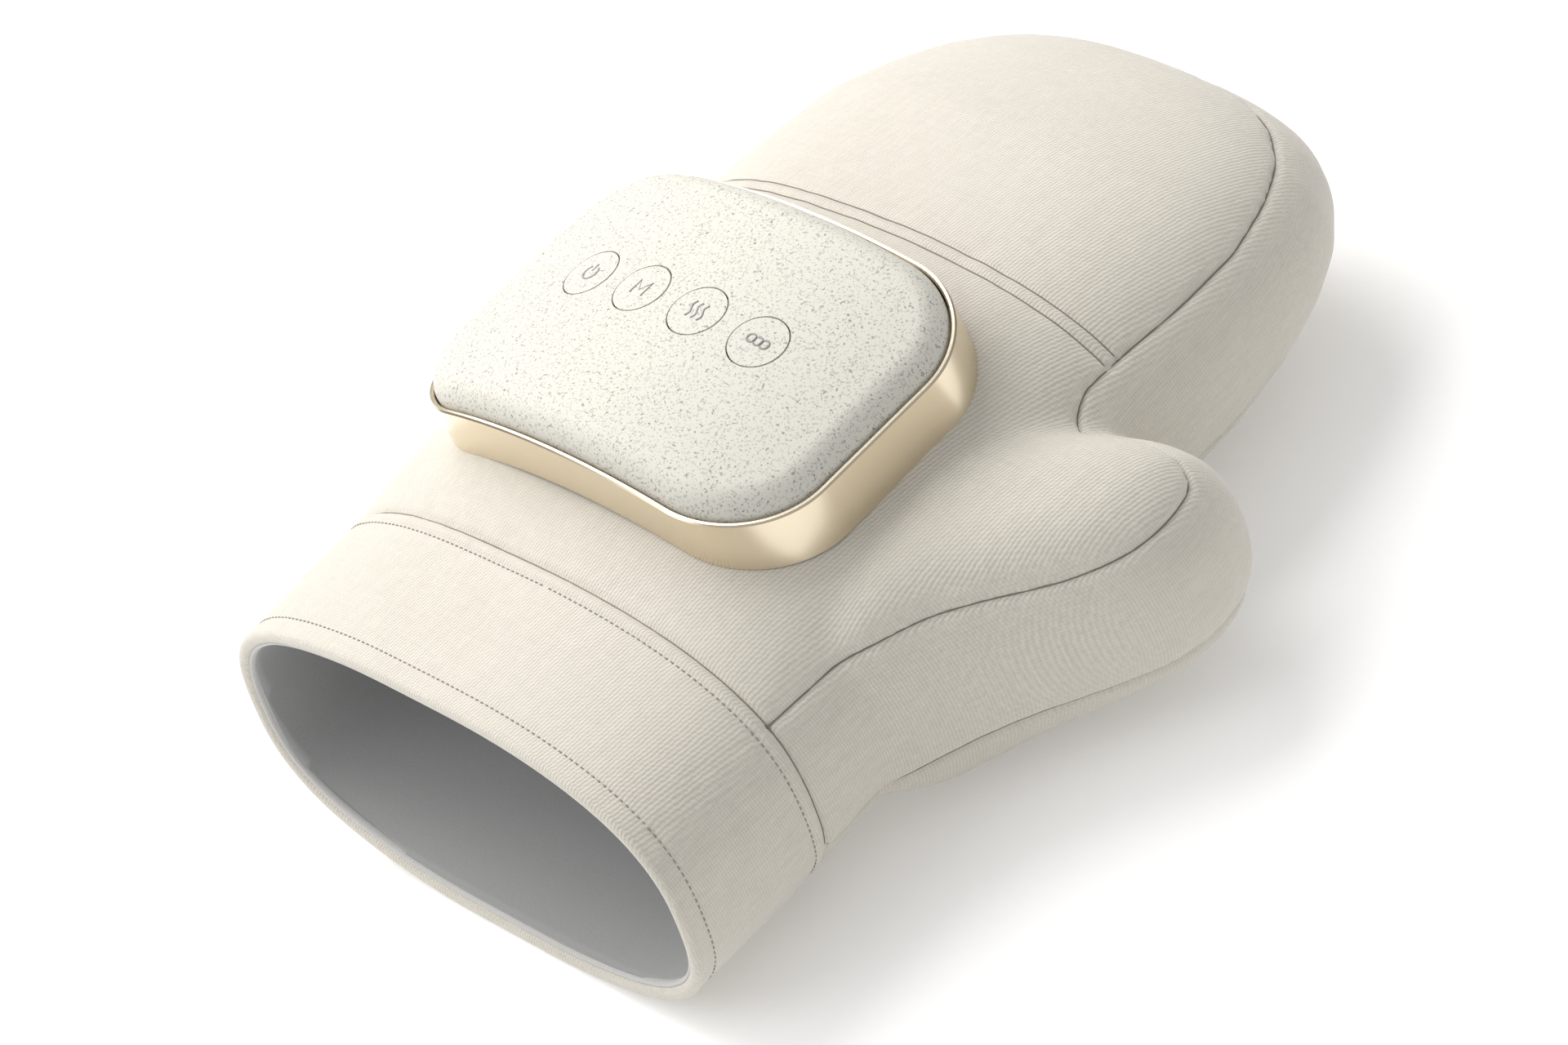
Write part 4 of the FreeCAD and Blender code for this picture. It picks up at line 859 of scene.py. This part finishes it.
def add_symbols():
    """A small printed symbol on each button, riding on that button's own body."""
    bodies = frame["record"]["behaviour"]["bodies"]
    owners = {node: body for body, nodes in bodies.items() for node in nodes}
    axes = {joint["child"]: Vector(joint["axis"]) for joint in frame["joints"]}
    for node, strokes in SYMBOLS.items():
        body = owners[node]
        up = -axes[body].normalized()
        right = Vector((0, 1, 0)).cross(up).normalized()
        ahead = up.cross(right)
        low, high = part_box(node)
        points = coordinates(frame["nodes"][node].data)
        top = float(np.max(points @ np.array(up)))
        middle = (low + high) / 2
        centre = middle + up * (top - middle.dot(up) + INK_LIFT)
        parts, faces = [], []
        for stroke in strokes:
            edge, strips = ribbon(stroke)
            start = len(parts)
            parts += [centre + right * (u * MM) + ahead * (v * MM) for u, v in edge]
            faces += [tuple(start + i for i in strip) for strip in strips]
        name = node + "_symbol"
        symbol = new_object(name, mesh_from(name, parts, faces), INK, body=body)
        thick = symbol.modifiers.new("thickness", "SOLIDIFY")
        thick.thickness, thick.offset = INK_THICKNESS, 0.0


# ---------------------------------------------------------------- studio

WHITE = (1.0, 1.0, 1.0, 1.0)
FLOOR_REACH, FLOOR_DROP = 6.0, 0.2 * MM      # metres
FLOOR_GLOW = 0.18
SKY_LOW, SKY_HIGH, SKY_TOP = 0.12, 0.70, 0.9
LIGHT_TARGET = (0.0, 0.0, 0.05)


def add_light(name, place, size, power, color):
    data = bpy.data.lights.new(name, "AREA")
    data.shape, data.size, data.energy, data.color = "DISK", size, power, color
    item = bpy.data.objects.new(name, data)
    item.location = place
    item.rotation_euler = (Vector(LIGHT_TARGET) - Vector(place)).to_track_quat("-Z", "Y").to_euler()
    bpy.context.scene.collection.objects.link(item)


def add_studio():
    """A plain pale floor, a bright even surround and soft lights from the upper left."""
    corners = [(x * FLOOR_REACH, y * FLOOR_REACH, 0) for x, y in ((-1, -1), (1, -1), (1, 1), (-1, 1))]
    floor = mesh_from("floor", corners, [(0, 1, 2, 3)])
    nodes = Nodes("pale_floor")
    tone = nodes.noise(nodes.place(), scale=3.0)
    nodes.shader.inputs["Emission Color"].default_value = WHITE
    nodes.shader.inputs["Emission Strength"].default_value = FLOOR_GLOW
    nodes.finish(color=nodes.mix(tone, (0.93, 0.93, 0.93, 1), (0.96, 0.96, 0.96, 1)), rough=0.9,
                 specular=0.1)
    item = bpy.data.objects.new("floor", floor)
    floor.materials.append(nodes.material)
    item.location.z = -FLOOR_DROP
    bpy.context.scene.collection.objects.link(item)
    world = bpy.data.worlds.new("studio")
    world.use_nodes = True
    tree = world.node_tree
    height = tree.nodes.new("ShaderNodeSeparateXYZ")
    tree.links.new(tree.nodes.new("ShaderNodeTexCoord").outputs["Generated"], height.inputs[0])
    fade = tree.nodes.new("ShaderNodeMapRange")
    tree.links.new(height.outputs["Z"], fade.inputs["Value"])
    fade.inputs["From Max"].default_value = SKY_TOP
    fade.inputs["To Min"].default_value, fade.inputs["To Max"].default_value = SKY_LOW, SKY_HIGH
    tree.links.new(fade.outputs["Result"], tree.nodes["Background"].inputs["Strength"])
    tree.nodes["Background"].inputs["Color"].default_value = WHITE
    bpy.context.scene.world = world
    add_light("key", place=(-0.85, 0.15, 1.05), size=1.4, power=18.5, color=(1.0, 0.985, 0.965))
    add_light("fill", place=(-0.45, -0.9, 1.1), size=1.2, power=6.0, color=WHITE[:3])
    bpy.context.scene.view_settings.view_transform = "Standard"


# ---------------------------------------------------------------- build

add_camera()
dress_nodes()
skin, lines = build_shell_skin()
split_panels(skin)
stitch_row("hem_stitches", *lines["hem_stitch"])
stitch_row("band_stitches", *lines["band_stitch"])
# the seam cords are painted shade: dark tubes along the bottom of the seam grooves
for line, keep in (("top", past_band), ("bottom", past_band), ("band", everywhere),
                   ("cross_near", above_top_seam), ("cross_far", above_top_seam)):
    seam_shade_cord("seam_" + line, *lines[line], keep)
hem_profile = round_profile(inward=1.7, past=0.2, width=3.8, height=3.4)
lip_profile = round_profile(inward=3.9, past=-0.4, width=1.5, height=2.6)
swept_lip("cuff_hem_roll", *lines["hem"], hem_profile, "shell_fabric")
lip = swept_lip("cuff_inner_lip", *lines["hem"], lip_profile, "binding_fabric")
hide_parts("cuff_binding")
build_lining()
add_symbols()
add_studio()
